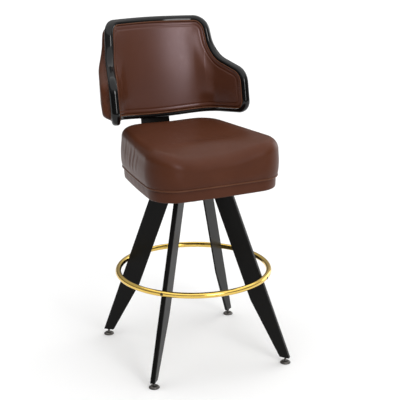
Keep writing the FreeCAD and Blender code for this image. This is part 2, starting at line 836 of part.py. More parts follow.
def bow_circle(start, end, bow):
    """Centre and radius of the arc from start to end that bows out, to the right, by bow."""
    chord = end - start
    radius = (chord.Length * chord.Length / 4 + bow * bow) / (2 * bow)
    outward = FreeCAD.Vector(chord.y, -chord.x, 0).normalize()
    return (start + end) * 0.5 - outward * (radius - bow), radius


def meeting(one, one_radius, two, two_radius, near):
    """The point nearest to near where two circles round one and two meet."""
    apart = two - one
    gap = apart.Length
    along = (gap * gap + one_radius * one_radius - two_radius * two_radius) / (2 * gap)
    aside = math.sqrt(one_radius * one_radius - along * along)
    way = apart * (1 / gap)
    square = FreeCAD.Vector(-way.y, way.x, 0) * aside
    spots = [one + way * along + square, one + way * along - square]
    return min(spots, key=lambda spot: (spot - near).Length)


def bowed_loop(points, bows, radii):
    """Bowed sides and tangent corner arcs round a closed outline, as one wire."""
    count = len(points)
    sides = [bow_circle(points[i], points[(i + 1) % count], bows[i]) for i in range(count)]
    corners = []
    for i in range(count):
        before, before_radius = sides[i - 1]
        after, after_radius = sides[i]
        radius = radii[i]
        hub = meeting(before, before_radius - radius, after, after_radius - radius, points[i])
        start = before + (hub - before) * (before_radius / (before_radius - radius))
        end = after + (hub - after) * (after_radius / (after_radius - radius))
        crown = hub + (start + end - hub * 2).normalize() * radius
        corners.append((start, crown, end))
    edges = []
    for i in range(count):
        start, crown, end = corners[i]
        centre, radius = sides[i]
        ahead = corners[(i + 1) % count][0]
        middle = centre + ((end + ahead) * 0.5 - centre).normalize() * radius
        edges.append(Part.Arc(start, crown, end).toShape())
        edges.append(Part.Arc(end, middle, ahead).toShape())
    return Part.Wire(edges)


def seat_loop(grow, z, tilt=0.0):
    """The seat's outline, moved out by grow, at a height, leaning forward by tilt degrees."""
    front = value("seat_front_half") + grow
    rear = value("seat_rear_half") + grow
    low = -value("seat_front") - grow
    high = value("seat_rear") + grow
    points = [
        FreeCAD.Vector(-front, low, 0),
        FreeCAD.Vector(front, low, 0),
        FreeCAD.Vector(rear, high, 0),
        FreeCAD.Vector(-rear, high, 0),
    ]
    side_bow = value("seat_side_bow")
    bows = [value("seat_front_bow"), side_bow, value("seat_rear_bow"), side_bow]
    front_radius = value("seat_front_corner") + grow * value("corner_share")
    rear_radius = value("seat_rear_corner") + grow * value("corner_share")
    wire = bowed_loop(points, bows, [front_radius, front_radius, rear_radius, rear_radius])
    wire.translate(FreeCAD.Vector(0, 0, z))
    wire.rotate(FreeCAD.Vector(0, 0, z), FreeCAD.Vector(1, 0, 0), tilt)
    return wire


def slab(grow, z, thick):
    return Part.Face(seat_loop(grow, z)).extrude(FreeCAD.Vector(0, 0, thick))


def blank_feature(name, shape):
    feature = doc.addObject("Part::Feature", name)
    feature.Shape = shape
    return feature


def bracket_slot(name):
    """The slot through frame and band that the bracket leaves by."""
    solid = doc.addObject("Part::Box", name)
    play = dim("bracket_slot")
    bind(solid, "Length", (dim("bracket_half") + play) * 2)
    bind(solid, "Width", dim("band_thick") + dim("frame_width") * 4)
    bind(solid, "Height", dim("bracket_thick") + play)
    low = BOARD_LOW - dim("bracket_thick") - play
    start = dim("seat_rear") - dim("band_thick") - dim("frame_width") * 2
    return place(solid, -(dim("bracket_half") + play), start, low)


def seat_board():
    grow = -value("band_thick") - value("soft_gap")
    blank = blank_feature("board_blank", slab(grow, plain(BOARD_LOW), value("board_thick")))
    tools = [cylinder("board_centre", dim("board_bore"), dim("board_thick"), z=BOARD_LOW)]
    for i, (x, y) in enumerate(seat_bolt_spots() + bracket_spots()):
        tools.append(cylinder(f"board_hole_{i}", dim("tee_barrel"), dim("board_thick"), x, y, BOARD_LOW))
        top = dim("seam_height") - dim("tee_thick")
        tools.append(cylinder(f"board_flange_{i}", dim("tee_flange"), dim("tee_thick"), x, y, top))
    node(cut("board_cut", blank, tools), "seat_board")


def seat_frame():
    """Strips under the rim of the board, which the band and the dust cover are fixed to."""
    low = value("seam_height") - value("band_drop")
    tall = plain(BOARD_LOW) - low
    grow = -value("band_thick") - value("soft_gap")
    ring = slab(grow, low, tall).cut(slab(grow - value("frame_width"), low, tall))
    node(cut("frame_cut", blank_feature("frame_blank", ring), [bracket_slot("frame_slot")]), "seat_frame")


def seat_band():
    low = value("seam_height") - value("band_drop")
    tall = value("band_drop")
    ring = slab(0.0, low, tall).cut(slab(-value("band_thick"), low, tall))
    node(cut("band_cut", blank_feature("band_blank", ring), [bracket_slot("band_slot")]), "seat_band")


def dust_cover():
    """Black cloth tacked under the frame, cut away round the swivel."""
    low = value("seam_height") - value("band_drop") - value("dust_thick")
    inset = -value("band_thick") - value("soft_gap") - value("dust_inset")
    blank = blank_feature("dust_blank", slab(inset, low, value("dust_thick")))
    below = dim("seam_height") - dim("band_drop") - dim("dust_thick")
    hole = cylinder("dust_hole_cut", dim("dust_hole"), dim("dust_thick"), z=below)
    node(cut("dust_cut", blank, [hole]), "dust_cover")


CROWN_STEPS = (0, 20, 40, 60, 78)


def cushion_form(shrink):
    """Drawn in at the seam, fullest half way up, then rolled over to a full crown."""
    low = value("seam_height") + value("soft_gap")
    widest = low + value("cushion_bulge_height") - shrink
    rise = value("cushion_crown")
    fullness = value("crown_fullness")
    loops = [seat_loop(value("cushion_undercut") - shrink, low)]
    swell = value("cushion_bulge") - value("cushion_undercut")
    waist = value("cushion_undercut") + swell * value("waist_grow_share") - shrink
    loops.append(seat_loop(waist, low + value("cushion_bulge_height") * value("waist_rise_share")))
    for step in CROWN_STEPS:
        bearing = math.radians(step)
        drawn = 1 - math.cos(bearing) ** fullness
        grow = value("cushion_bulge") - shrink - value("cushion_reach") * drawn
        lift = math.sin(bearing) ** fullness
        loops.append(seat_loop(grow, widest + rise * lift, value("cushion_tilt") * lift))
    return Part.makeLoft(loops, True, False)


def seat_cushion():
    outer = cushion_form(0.0)
    inner = cushion_form(value("cover_thick"))
    node(blank_feature("foam_form", inner), "seat_foam")
    node(blank_feature("cover_form", outer.cut(inner)), "seat_cover")


def round_tube(path, radius):
    """A round tube along a closed path of lines and arcs."""
    start = path.Edges[1]
    point = start.valueAt(start.FirstParameter)
    tangent = start.tangentAt(start.FirstParameter)
    ring = Part.Wire([Part.Circle(point, tangent, radius).toShape()])
    edges = path.Edges[1:] + path.Edges[:1]
    return Part.Wire(edges).makePipeShell([ring], True, False)


def seat_welt():
    """Piping laid in the seam between the cushion and the band."""
    radius = value("seat_welt")
    path = seat_loop(radius + value("soft_gap"), value("seam_height") - radius)
    node(blank_feature("welt_form", round_tube(path, radius)), "seat_welt")


seat_board()
seat_frame()
seat_band()
dust_cover()
seat_cushion()
seat_welt()


# Back: a bent sheet, drawn flat as run and height, then wrapped to its plan and leaned
def corner_round(before, corner, after, radius):
    """Start, centre and end of the arc that rounds a corner of the flat outline."""
    one = (before - corner).normalize()
    two = (after - corner).normalize()
    half = one.getAngle(two) / 2
    reach = radius / math.tan(half)
    middle = (one + two).normalize()
    centre = corner + middle * (radius / math.sin(half))
    return corner + one * reach, centre, corner + two * reach


def flat_outline(inset):
    """Right half of the back's flat outline as points, from the top centre to the bottom centre."""
    run = plain(WING_RUN) - inset
    top = plain(BACK_TOP) - inset
    low = plain(BACK_LOW) + inset
    slope = value("top_rise") / value("dip_run_step")
    side_shift = inset * math.sqrt(1 + slope * slope) / slope
    corners = [
        FreeCAD.Vector(0, top, 0),
        FreeCAD.Vector(value("back_top_run") - side_shift, top - value("back_top_drop"), 0),
        FreeCAD.Vector(plain(DIP_RUN) - side_shift, plain(BACK_DIP) - inset, 0),
        FreeCAD.Vector(run, plain(WING_TOP) - inset, 0),
        FreeCAD.Vector(run, low, 0),
        FreeCAD.Vector(0, low - value("back_bow"), 0),
    ]
    rounds = (
        value("top_round") - inset,
        value("dip_round") + inset,
        value("wing_top_round") - inset,
        value("wing_low_round") - inset,
    )
    points = [corners[0]]
    for i, radius in enumerate(rounds, start=1):
        start, centre, end = corner_round(corners[i - 1], corners[i], corners[i + 1], radius)
        points += line_points(points[-1], start)
        points += arc_points(start, centre, end)
    points += line_points(points[-1], corners[-1])
    return points


LINE_STEP = 22.0
ARC_STEP = math.radians(14.0)
TINY = 1e-6


def line_points(start, end):
    count = max(1, round((end - start).Length / LINE_STEP))
    return [start + (end - start) * (i / count) for i in range(1, count + 1)]


def arc_points(start, centre, end):
    one = start - centre
    two = end - centre
    first = math.atan2(one.y, one.x)
    sweep = (math.atan2(two.y, two.x) - first + math.pi) % (2 * math.pi) - math.pi
    count = max(2, round(abs(sweep) / ARC_STEP))
    points = []
    for i in range(1, count + 1):
        bearing = first + sweep * i / count
        points.append(centre + FreeCAD.Vector(math.cos(bearing), math.sin(bearing), 0) * one.Length)
    return points


def wrap(run, height, off):
    """A point of the flat back, bent to the plan's arcs, leaned, and moved outwards by off."""
    side = -1.0 if run < 0 else 1.0
    run = abs(run)
    first = math.radians(value("back_centre_angle"))
    second = math.radians(value("back_corner_angle"))
    big = value("back_centre_radius")
    small = value("back_corner_radius")
    bearing = min(run / big, first)
    x = big * math.sin(bearing)
    y = -big * (1 - math.cos(bearing))
    rest = run - big * bearing
    if rest > 0:
        bearing = first + min(rest / small, second)
        x += small * (math.sin(bearing) - math.sin(first))
        y -= small * (math.cos(first) - math.cos(bearing))
        rest -= small * (bearing - first)
    x += rest * math.cos(bearing)
    y -= rest * math.sin(bearing)
    x += off * math.sin(bearing)
    y += off * math.cos(bearing) + value("back_rear")
    y += math.tan(math.radians(value("back_lean"))) * (height - plain(BACK_LOW))
    return FreeCAD.Vector(side * x, y, height)


def stations(inset):
    """Runs across the back with the lowest and highest point of its outline at each."""
    points = flat_outline(inset)
    end = plain(WING_RUN) - inset
    split = plain(BACK_LOW) + value("wing_low_round") + inset
    upper = [p for p in points if p.y > split]
    lower = [p for p in points if p.y <= split]
    tops = [p for p in upper if p.x < end - TINY]
    edge_top = max(p.y for p in upper if p.x >= end - TINY)
    rows = [(p.x, low_at(lower, p.x), p.y) for p in tops]
    rows.append((end, low_at(lower, end), edge_top))
    return rows


def low_at(lower, run):
    """Height of the bottom edge at a run, between the outline's own points."""
    for one, two in zip(lower, lower[1:]):
        if two.x <= run <= one.x:
            share = (run - two.x) / max(one.x - two.x, TINY)
            return two.y + (one.y - two.y) * share
    return lower[0].y


def back_form(inset, near, edge, crown):
    """Loft right round the back of sections from near to edge, bulged to crown half way up."""
    half = stations(inset)
    rows = [(-run, low, top) for run, low, top in reversed(half[1:])] + half
    wires = []
    for run, low, top in rows:
        middle = (low + top) / 2
        share = min(1.0, (top - low) / value("wing_rise"))
        bulge = edge + (crown - edge) * share
        a = wrap(run, low, near)
        b = wrap(run, low, edge)
        c = wrap(run, top, edge)
        d = wrap(run, top, near)
        face = Part.LineSegment(b, c).toShape()
        if crown != edge:
            face = Part.Arc(b, wrap(run, middle, bulge), c).toShape()
        sides = [Part.LineSegment(a, b).toShape(), face]
        sides += [Part.LineSegment(c, d).toShape(), Part.LineSegment(d, a).toShape()]
        wires.append(Part.Wire(sides))
    return Part.makeLoft(wires, True, False)


def edge_loop(inset):
    """Points of the whole outline with the outward way at each, from the bottom centre round."""
    half = flat_outline(inset)
    right = list(reversed(half))
    left = [FreeCAD.Vector(-p.x, p.y, 0) for p in half[1:]]
    points = right + left
    ways = []
    for i, point in enumerate(points):
        before = points[max(i - 1, 0)]
        after = points[min(i + 1, len(points) - 1)]
        along = (after - before).normalize()
        ways.append(FreeCAD.Vector(along.y, -along.x, 0))
    ways[0] = FreeCAD.Vector(0, -1, 0)
    ways[-1] = FreeCAD.Vector(0, -1, 0)
    return points, ways


def edge_section(point, way, profile, shift):
    """One section of an edging: profile gives (outwards, off) pairs for its arcs."""
    spots = []
    for out, off in profile:
        at = point + way * out
        spots.append(wrap(at.x + shift, at.y, off))
    edges = []
    for i in range(0, len(spots) - 1, 2):
        edges.append(Part.Arc(spots[i], spots[i + 1], spots[(i + 2) % len(spots)]).toShape())
    if len(spots) % 2:
        edges.append(Part.LineSegment(spots[-1], spots[0]).toShape())
    return Part.Wire(edges)


BUTT = 0.25


def back_edging(profile, inset):
    """An edging carried right round the back, with its butt joint at the bottom centre."""
    points, ways = edge_loop(inset)
    wires = []
    for i, (point, way) in enumerate(zip(points, ways)):
        shift = BUTT if i == 0 else (-BUTT if i == len(points) - 1 else 0.0)
        wires.append(edge_section(point, way, profile, shift))
    return Part.makeLoft(wires, True, False)


def trim_profile():
    """A D: flat against the back's edge, rounded outwards."""
    half = value("trim_half")
    deep = value("trim_depth")
    full = value("trim_fullness")
    slant = math.sqrt(0.5)
    return [
        (0.0, -half),
        (deep * slant, -half * slant * full),
        (deep, 0.0),
        (deep * slant, half * slant * full),
        (0.0, half),
    ]


def welt_profile(centre, play=0.0):
    """A round section; play widens it for the groove that the welt lies in."""
    radius = value("welt_radius") + play
    slant = math.sqrt(0.5)
    ring = []
    for out, off in ((0, -1), (slant, -slant), (1, 0), (slant, slant), (0, 1)):
        ring.append((radius * out, centre + radius * off))
    for out, off in ((-slant, slant), (-1, 0), (-slant, -slant)):
        ring.append((radius * out, centre + radius * off))
    return ring


def upright_front(height):
    """The bracket's front face stands just behind the fullest part of the outer pad."""
    lean = dim("back_lean")
    rise = (height - BACK_LOW) * (sine(lean) / cosine(lean))
    return dim("back_rear") + rise + dim("outer_crown") + dim("soft_gap")


def back_bolt_spots():
    spots = []
    low = BACK_LOW + dim("back_bolt_rise")
    for height in (low, low + dim("back_bolt_pitch")):
        spots += [(dim("bracket_bolt_x"), height), (-dim("bracket_bolt_x"), height)]
    return spots


def square_cylinder(name, radius, spot, start, length, sides=0):
    """A cylinder or hexagon square to the leaning back, from an offset off its middle surface."""
    lean = dim("back_lean")
    x, height = spot
    if sides:
        solid = hexagon(name, radius, length)
    else:
        solid = cylinder(name, radius, length)
    turn(solid, FreeCAD.Vector(1, 0, 0), -(lean + 90.0))
    rise = (height - BACK_LOW) * (sine(lean) / cosine(lean))
    sag = x * x / (dim("back_centre_radius") * 2)
    y = dim("back_rear") + rise - sag + start * cosine(lean)
    return place(solid, x, y, height - start * sine(lean))


def bolt_holes(name, radius):
    """Tools for the four bolt holes of the back."""
    tools = []
    length = (dim("inner_crown") + dim("outer_crown")) * 2
    for i, spot in enumerate(back_bolt_spots()):
        tools.append(square_cylinder(f"{name}_{i}", radius, spot, -dim("inner_crown") * 2, length))
    return tools


def flange_seats(name, reach, past):
    """Tools round the flanges of the tee nuts, from reach before the shell's front to past it."""
    tools = []
    radius = dim("tee_flange") + dim("soft_gap")
    for i, spot in enumerate(back_bolt_spots()):
        start = -dim("shell_half") - reach
        tools.append(square_cylinder(f"{name}_{i}", radius, spot, start, reach + past))
    return tools


def back():
    half = value("shell_half")
    gap = value("edge_gap")
    inset = value("pad_inset")
    skin = value("soft_gap") / 3
    shell = blank_feature("shell_blank", back_form(gap, -half, half, half))
    holes = bolt_holes("shell_hole", dim("tee_barrel"))
    seats = flange_seats("shell_seat", dim("inner_crown"), 0.0)
    node(cut("shell_cut", shell, holes + seats), "back_shell")
    node(blank_feature("trim_form", back_edging(trim_profile(), 0.0)), "back_trim")
    centre = value("pad_edge") + value("welt_radius") + gap
    low = value("welt_radius") + gap
    recess = flange_seats("inner_recess", dim("tee_thick") + dim("soft_gap"), dim("shell_half"))
    shanks = bolt_holes("outer_hole", dim("seat_bolt_radius") + dim("bolt_play"))
    pads = (
        ("inner", -1.0, value("inner_crown"), recess),
        ("outer", 1.0, value("outer_crown"), shanks),
    )
    for side, sign, crown, tools in pads:
        welt = back_edging(welt_profile(sign * centre), low)
        form = back_form(inset, sign * (half + skin), sign * value("pad_edge"), sign * crown)
        groove = back_edging(welt_profile(sign * centre, value("soft_gap")), low)
        blank = blank_feature(f"{side}_pad_blank", form.cut(groove))
        node(cut(f"{side}_pad_cut", blank, tools), f"back_{side}_pad")
        node(blank_feature(f"{side}_welt_form", welt), f"back_{side}_welt")


back()


# Bracket: a flat bar bent up behind the seat, bolted under the board and to the back
def bracket():
    body = doc.addObject("PartDesign::Body", "bracket_body")
    low = BOARD_LOW - dim("bracket_thick")
    top = BACK_LOW + dim("bracket_rise")
    slant = dim("bracket_thick") / cosine(dim("back_lean"))
    profile = [
        (dim("bracket_start"), low),
        (upright_front(low) + slant, low),
        (upright_front(top) + slant, top),
        (upright_front(top), top),
        (upright_front(BOARD_LOW), BOARD_LOW),
        (dim("bracket_start"), BOARD_LOW),
    ]
    sketch = polygon(body, "bracket_profile", "YZ_Plane", profile)
    flat = pad(body, "bracket_flat", sketch, dim("bracket_half") * 2, middle=True)
    doc.recompute()
    bends = {
        "outer": (upright_front(low) + slant, low, dim("bracket_bend") + dim("bracket_thick")),
        "inner": (upright_front(BOARD_LOW), BOARD_LOW, dim("bracket_bend")),
    }
    for name, (y, z, radius) in bends.items():
        fillet = body.newObject("PartDesign::Fillet", f"bracket_{name}_bend")
        fillet.Base = (flat, [edge_near(flat, plain(y), plain(z))])
        bind(fillet, "Radius", radius)
        doc.recompute()
        flat = fillet
    tools = []
    for i, (x, y) in enumerate(bracket_spots()):
        hole = dim("seat_bolt_radius") + dim("bolt_play")
        tools.append(cylinder(f"bracket_hole_{i}", hole, dim("bracket_thick"), x, y, low))
    for i, spot in enumerate(back_bolt_spots()):
        hole = dim("seat_bolt_radius") + dim("bolt_play")
        length = dim("outer_crown") * 2
        tools.append(square_cylinder(f"bracket_back_hole_{i}", hole, spot, dim("pad_edge"), length))
    node(cut("bracket_cut", body, tools), "back_bracket")


def edge_near(feature, y, z):
    """Name of the edge that runs along X nearest to a place in the side view."""
    best = None
    for i, edge in enumerate(feature.Shape.Edges, start=1):
        ends = [v.Point for v in edge.Vertexes]
        if len(ends) != 2 or abs(ends[0].x - ends[1].x) < value("bracket_thick"):
            continue
        gap = math.hypot(ends[0].y - y, ends[0].z - z)
        if best is None or gap < best[0]:
            best = (gap, f"Edge{i}")
    return best[1]


def back_fasteners():
    """Bolts from behind through bracket and outer pad into tee nuts on the shell's front."""
    lean = dim("back_lean")
    plate_front = (dim("outer_crown") + dim("soft_gap")) * cosine(lean)
    plate_rear = plate_front + dim("bracket_thick")
    radius = dim("seat_bolt_radius")
    bolts = []
    nuts = []
    for i, spot in enumerate(back_bolt_spots()):
        sag = spot[0] * spot[0] / (dim("back_centre_radius") * 2)
        rear = plate_rear + sag * cosine(lean)
        tip = -dim("shell_half") - dim("tee_thick")
        shank = square_cylinder(f"back_shank_{i}", radius, spot, tip, rear - tip)
        head_height = radius * dim("head_height_share")
        head = square_cylinder(
            f"back_head_{i}", radius * dim("head_share"), spot, rear, head_height, sides=6
        )
        bolts.append(fuse(f"back_bolt_{i}", [shank, head]))
        length = dim("back_tee_length")
        barrel = square_cylinder(f"back_barrel_{i}", dim("tee_barrel"), spot, tip, length)
        flange = square_cylinder(f"back_flange_{i}", dim("tee_flange"), spot, tip, dim("tee_thick"))
        thread = radius + dim("thread_clearance")
        bore = square_cylinder(f"back_nut_bore_{i}", thread, spot, tip, length)
        nuts.append(cut(f"back_nut_{i}", fuse(f"back_nut_blank_{i}", [barrel, flange]), [bore]))
    node(group("back_bolt_group", bolts), "back_bolts")
    node(group("back_nut_group", nuts), "back_tee_nuts")


bracket()
back_fasteners()

doc.recompute()

faults = []
for thing in doc.Objects:
    if "Invalid" in thing.State or "Error" in thing.State:
        faults.append(f"{thing.Name} {thing.State}")
for piece in NODES:
    if piece.Shape.isNull() or not piece.Shape.isValid():
        faults.append(f"{piece.Label} has no valid shape")
if faults:
    raise RuntimeError("; ".join(faults))

os.makedirs("parts", exist_ok=True)
for piece in NODES:
    piece.Shape.exportStep(f"parts/{piece.Label}.step")
print(len(NODES), "pieces written")
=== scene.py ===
import json
import math

import bpy
import numpy as np
from mathutils import Matrix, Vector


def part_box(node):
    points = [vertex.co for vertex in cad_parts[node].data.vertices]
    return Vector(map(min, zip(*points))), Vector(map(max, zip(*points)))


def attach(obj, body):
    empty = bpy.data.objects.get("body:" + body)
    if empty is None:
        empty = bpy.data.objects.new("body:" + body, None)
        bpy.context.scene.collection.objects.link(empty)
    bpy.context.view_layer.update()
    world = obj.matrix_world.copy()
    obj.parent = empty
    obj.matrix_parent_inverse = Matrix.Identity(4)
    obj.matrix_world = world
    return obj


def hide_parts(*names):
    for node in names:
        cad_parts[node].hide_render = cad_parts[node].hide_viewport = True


# Frame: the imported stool. Every piece below stands where the frame has it, in metres.
# The seat turns about a vertical axis, and the base stands a few degrees off the seat.
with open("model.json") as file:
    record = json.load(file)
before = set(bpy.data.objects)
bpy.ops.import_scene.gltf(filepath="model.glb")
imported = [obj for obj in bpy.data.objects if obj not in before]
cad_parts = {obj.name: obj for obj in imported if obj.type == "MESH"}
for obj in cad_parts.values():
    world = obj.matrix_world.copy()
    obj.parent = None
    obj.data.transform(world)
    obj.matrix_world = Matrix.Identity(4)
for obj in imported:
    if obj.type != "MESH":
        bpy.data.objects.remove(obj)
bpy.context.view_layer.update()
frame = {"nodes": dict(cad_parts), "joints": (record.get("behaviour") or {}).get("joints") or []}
swivel = next(joint for joint in frame["joints"] if joint["name"] == "seat_swivel")
AXIS_Y = swivel["pos_m"][1]
CORNERS = ("rear_right", "rear_left", "front_left", "front_right")


# Levelling glides: a nylon sole pressed into a domed steel cup, on a stem with a rolled
# thread that screws up into the foot of the leg.
def quads(index):
    """Faces between the neighbours in a grid of point numbers."""
    corners = [index[:-1, :-1], index[:-1, 1:], index[1:, 1:], index[1:, :-1]]
    return np.stack(corners, axis=-1).reshape(-1, 4).tolist()


def skin(rings, closed=False):
    """Points and faces over rings of points. An open run of rings is closed by a fan at each end."""
    count, size = rings.shape[:2]
    index = np.arange(count * size).reshape(count, size)
    around = np.concatenate([index, index[:, :1]], axis=1)
    if closed:
        around = np.concatenate([around, around[:1]], axis=0)
    points, faces = rings.reshape(-1, 3), quads(around)
    if not closed:
        for ring, row in ((rings[0], index[0][::-1]), (rings[-1], index[-1])):
            faces += np.stack([np.full(size, len(points)), row, np.roll(row, -1)], axis=-1).tolist()
            points = np.vstack([points, ring.mean(axis=0)])
    return points, faces


SHARP_FOLD = math.radians(40)


def placed(name, data):
    """An object for a mesh, a lamp or a camera, put in the scene."""
    thing = bpy.data.objects.new(name, data)
    bpy.context.scene.collection.objects.link(thing)
    return thing


def build(name, shape, finish, fold):
    """A mesh object whose faces point outwards, smooth except where it folds by more than the angle."""
    points, faces = shape
    mesh = bpy.data.meshes.new(name)
    mesh.from_pydata(points.tolist(), [], faces)
    mesh.calc_loop_triangles()
    corner = np.empty(len(mesh.loop_triangles) * 3, int)
    mesh.loop_triangles.foreach_get("vertices", corner)
    spot = points[corner.reshape(-1, 3)]
    if np.einsum("ij,ij->i", spot[:, 0], np.cross(spot[:, 1], spot[:, 2])).sum() < 0:
        mesh.flip_normals()
    mesh.shade_smooth()
    mesh.set_sharp_from_angle(angle=fold)
    mesh.materials.append(finish)
    return placed(name, mesh)


def piece(name, shape, finish, body, slot, *nodes, fold=SHARP_FOLD):
    """Build a piece, ride it on its body and let it stand for its nodes; its slot is not used."""
    thing = build(name, shape, finish, fold)
    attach(thing, body)
    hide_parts(*nodes)
    return thing


def laid(shape, spot, axes=np.eye(3)):
    """A shape moved to a spot, its X, Y and Z turned to point along the three axes."""
    points, faces = shape
    return points @ np.array(axes) + spot, faces


def angles(count):
    """Even bearings round a circle."""
    return np.linspace(0, 2 * math.pi, count, endpoint=False)


def ways(bearing):
    """Unit ways in a plane at the bearings."""
    return np.stack([np.cos(bearing), np.sin(bearing)], axis=-1)


def arc(centre, radius, start, end, count=7):
    """Points of an arc in its plane, from one bearing in degrees to another."""
    return radius * ways(np.radians(np.linspace(start, end, count))) + centre


def turned(rows, count):
    """Rings about Z, one to each row of radius and height; a radius may vary round its ring."""
    way = ways(angles(count))
    rings = [(way * np.reshape(radius, (-1, 1)), np.full(count, height)) for radius, height in rows]
    return np.array([np.column_stack(ring) for ring in rings])


def bell(off, width):
    """1 at no distance, falling on both sides as a Gaussian of that width."""
    return np.exp(-((off / width) ** 2))


SHADER = "Principled BSDF"


def new_finish(name, colour, roughness, metallic=0.0, **sockets):
    """A material with a Principled shader; the named sockets are set on the shader itself."""
    finish = bpy.data.materials.new(name)
    finish.use_nodes = True
    shader = finish.node_tree.nodes[SHADER]
    shader.inputs["Base Color"].default_value = (*colour, 1)
    shader.inputs["Roughness"].default_value = roughness
    shader.inputs["Metallic"].default_value = metallic
    for socket, value in sockets.items():
        shader.inputs[socket.replace("_", " ")].default_value = value
    return finish


def add(tree, kind, settings=None, **sockets):
    """A node with its settings and the values of its sockets."""
    node = tree.nodes.new(kind)
    for name, value in (settings or {}).items():
        setattr(node, name, value)
    for name, value in sockets.items():
        node.inputs[name.replace("_", " ")].default_value = value
    return node


def wire(tree, *links):
    """Link sockets: each link is a node, its output, the next node or its name, and its input."""
    for node, output, following, socket in links:
        if isinstance(following, str):
            following = tree.nodes[following]
        tree.links.new(node.outputs[output], following.inputs[socket])


def new_effect(name, inputs, outputs):
    """A node group with float inputs and their defaults, and float outputs."""
    tree = bpy.data.node_groups.new(name, "ShaderNodeTree")
    for socket, value in inputs.items():
        tree.interface.new_socket(socket, in_out="INPUT", socket_type="NodeSocketFloat").default_value = value
    for socket in outputs:
        tree.interface.new_socket(socket, in_out="OUTPUT", socket_type="NodeSocketFloat")
    return tree, tree.nodes.new("NodeGroupInput"), tree.nodes.new("NodeGroupOutput")


def place_effect(finish, effect, **sockets):
    """A node group placed in a finish, with the values of its inputs."""
    return add(finish.node_tree, "ShaderNodeGroup", {"node_tree": effect}, **sockets)


def wire_bump(finish, effect, output, distance, strength=1.0):
    """Height, in shares of distance, feeds the shader's normal."""
    bump = add(finish.node_tree, "ShaderNodeBump", Strength=strength, Distance=distance)
    wire(finish.node_tree, (effect, output, bump, "Height"), (bump, "Normal", SHADER, "Normal"))


def wire_range(finish, effect, output, socket, low, high):
    """A mask from 0 to 1 drives a shader socket between two values."""
    spread = add(finish.node_tree, "ShaderNodeMapRange", To_Min=low, To_Max=high)
    wire(finish.node_tree, (effect, output, spread, "Value"), (spread, "Result", SHADER, socket))


def wire_colours(finish, effect, output, colours):
    """A mask from 0 to 1 picks the base colour from evenly spread stops."""
    ramp = finish.node_tree.nodes.new("ShaderNodeValToRGB")
    stops = ramp.color_ramp.elements
    while len(stops) < len(colours):
        stops.new(0.5)
    for i, colour in enumerate(colours):
        stops[i].position = i / (len(colours) - 1)
        stops[i].color = (*colour, 1)
    wire(finish.node_tree, (effect, output, ramp, "Fac"), (ramp, "Color", SHADER, "Base Color"))


def surface_effect():
    """Fine unevenness of a hard finish: a coarse drift, a fine grain, and their blend as a height."""
    inputs = {"Grain Scale": 900.0, "Drift Scale": 14.0, "Grain Share": 0.5}
    tree, given, out = new_effect("hard_surface", inputs, ("Height", "Drift", "Grain"))
    place = tree.nodes.new("ShaderNodeTexCoord")
    grain = add(tree, "ShaderNodeTexNoise", Detail=3.0, Roughness=0.6)
    drift = add(tree, "ShaderNodeTexNoise", Detail=4.0, Roughness=0.55)
    blend = add(tree, "ShaderNodeMix", {"data_type": "FLOAT"})
    for node, name, side in ((drift, "Drift", "A"), (grain, "Grain", "B")):
        wire(tree, (place, "Object", node, "Vector"), (given, f"{name} Scale", node, "Scale"))
        wire(tree, (node, "Fac", blend, side), (node, "Fac", out, name))
    wire(tree, (given, "Grain Share", blend, "Factor"), (blend, "Result", out, "Height"))
    return tree


hard_surface = surface_effect()


def hard_finish(name, dark, light, rough_low, rough_high, grain_scale, depth, metallic=0.0, **sockets):
    """Paint, plastic or metal: its tone, gloss and surface drift over the piece."""
    finish = new_finish(name, light, rough_low, metallic, **sockets)
    effect = place_effect(finish, hard_surface, Grain_Scale=grain_scale)
    wire_colours(finish, effect, "Drift", (dark, light))
    wire_range(finish, effect, "Grain", "Roughness", rough_low, rough_high)
    wire_bump(finish, effect, "Height", depth)
    return finish


STEEL_TONES = (0.07, 0.065, 0.06), (0.17, 0.16, 0.15)
glide_steel = hard_finish("glide_steel", *STEEL_TONES, 0.26, 0.42, 1400.0, 0.00003, metallic=0.9)
nylon = hard_finish("nylon", (0.03, 0.03, 0.03), (0.05, 0.05, 0.05), 0.5, 0.65, 1200.0, 0.00004)

CUP_RIM = 0.0176
CUP_LIFT = 0.0008
CUP_WALL = 0.0019
CUP_ROLL = 0.0006
CUP_NECK = 0.0060
CUP_TOP = 0.0086
CUP_COLLAR = 0.0004
CUP_STEP = 0.0003
CUP_STEP_AT = 0.8
CUP_STEP_SHARPNESS = 14
CUP_SWEEP = (4, 88)
CUP_LAP = 0.0002
SOLE_RADIUS = 0.0150
SOLE_TOP = 0.0026
SOLE_EDGE = 0.0006
SOLE_FLAT = 0.0090
STEM_RADIUS = 0.00395
STEM_TOP = 0.0340
STEM_BEAD = 0.0012
STEM_BEAD_AT = CUP_TOP + 0.0010
STEM_BEAD_WIDTH = 0.0009
THREAD_PITCH = 0.0014
THREAD_DEPTH = 0.0005
THREAD_START = 0.0112
ROUND_POINTS = 72
STEM_POINTS = 32


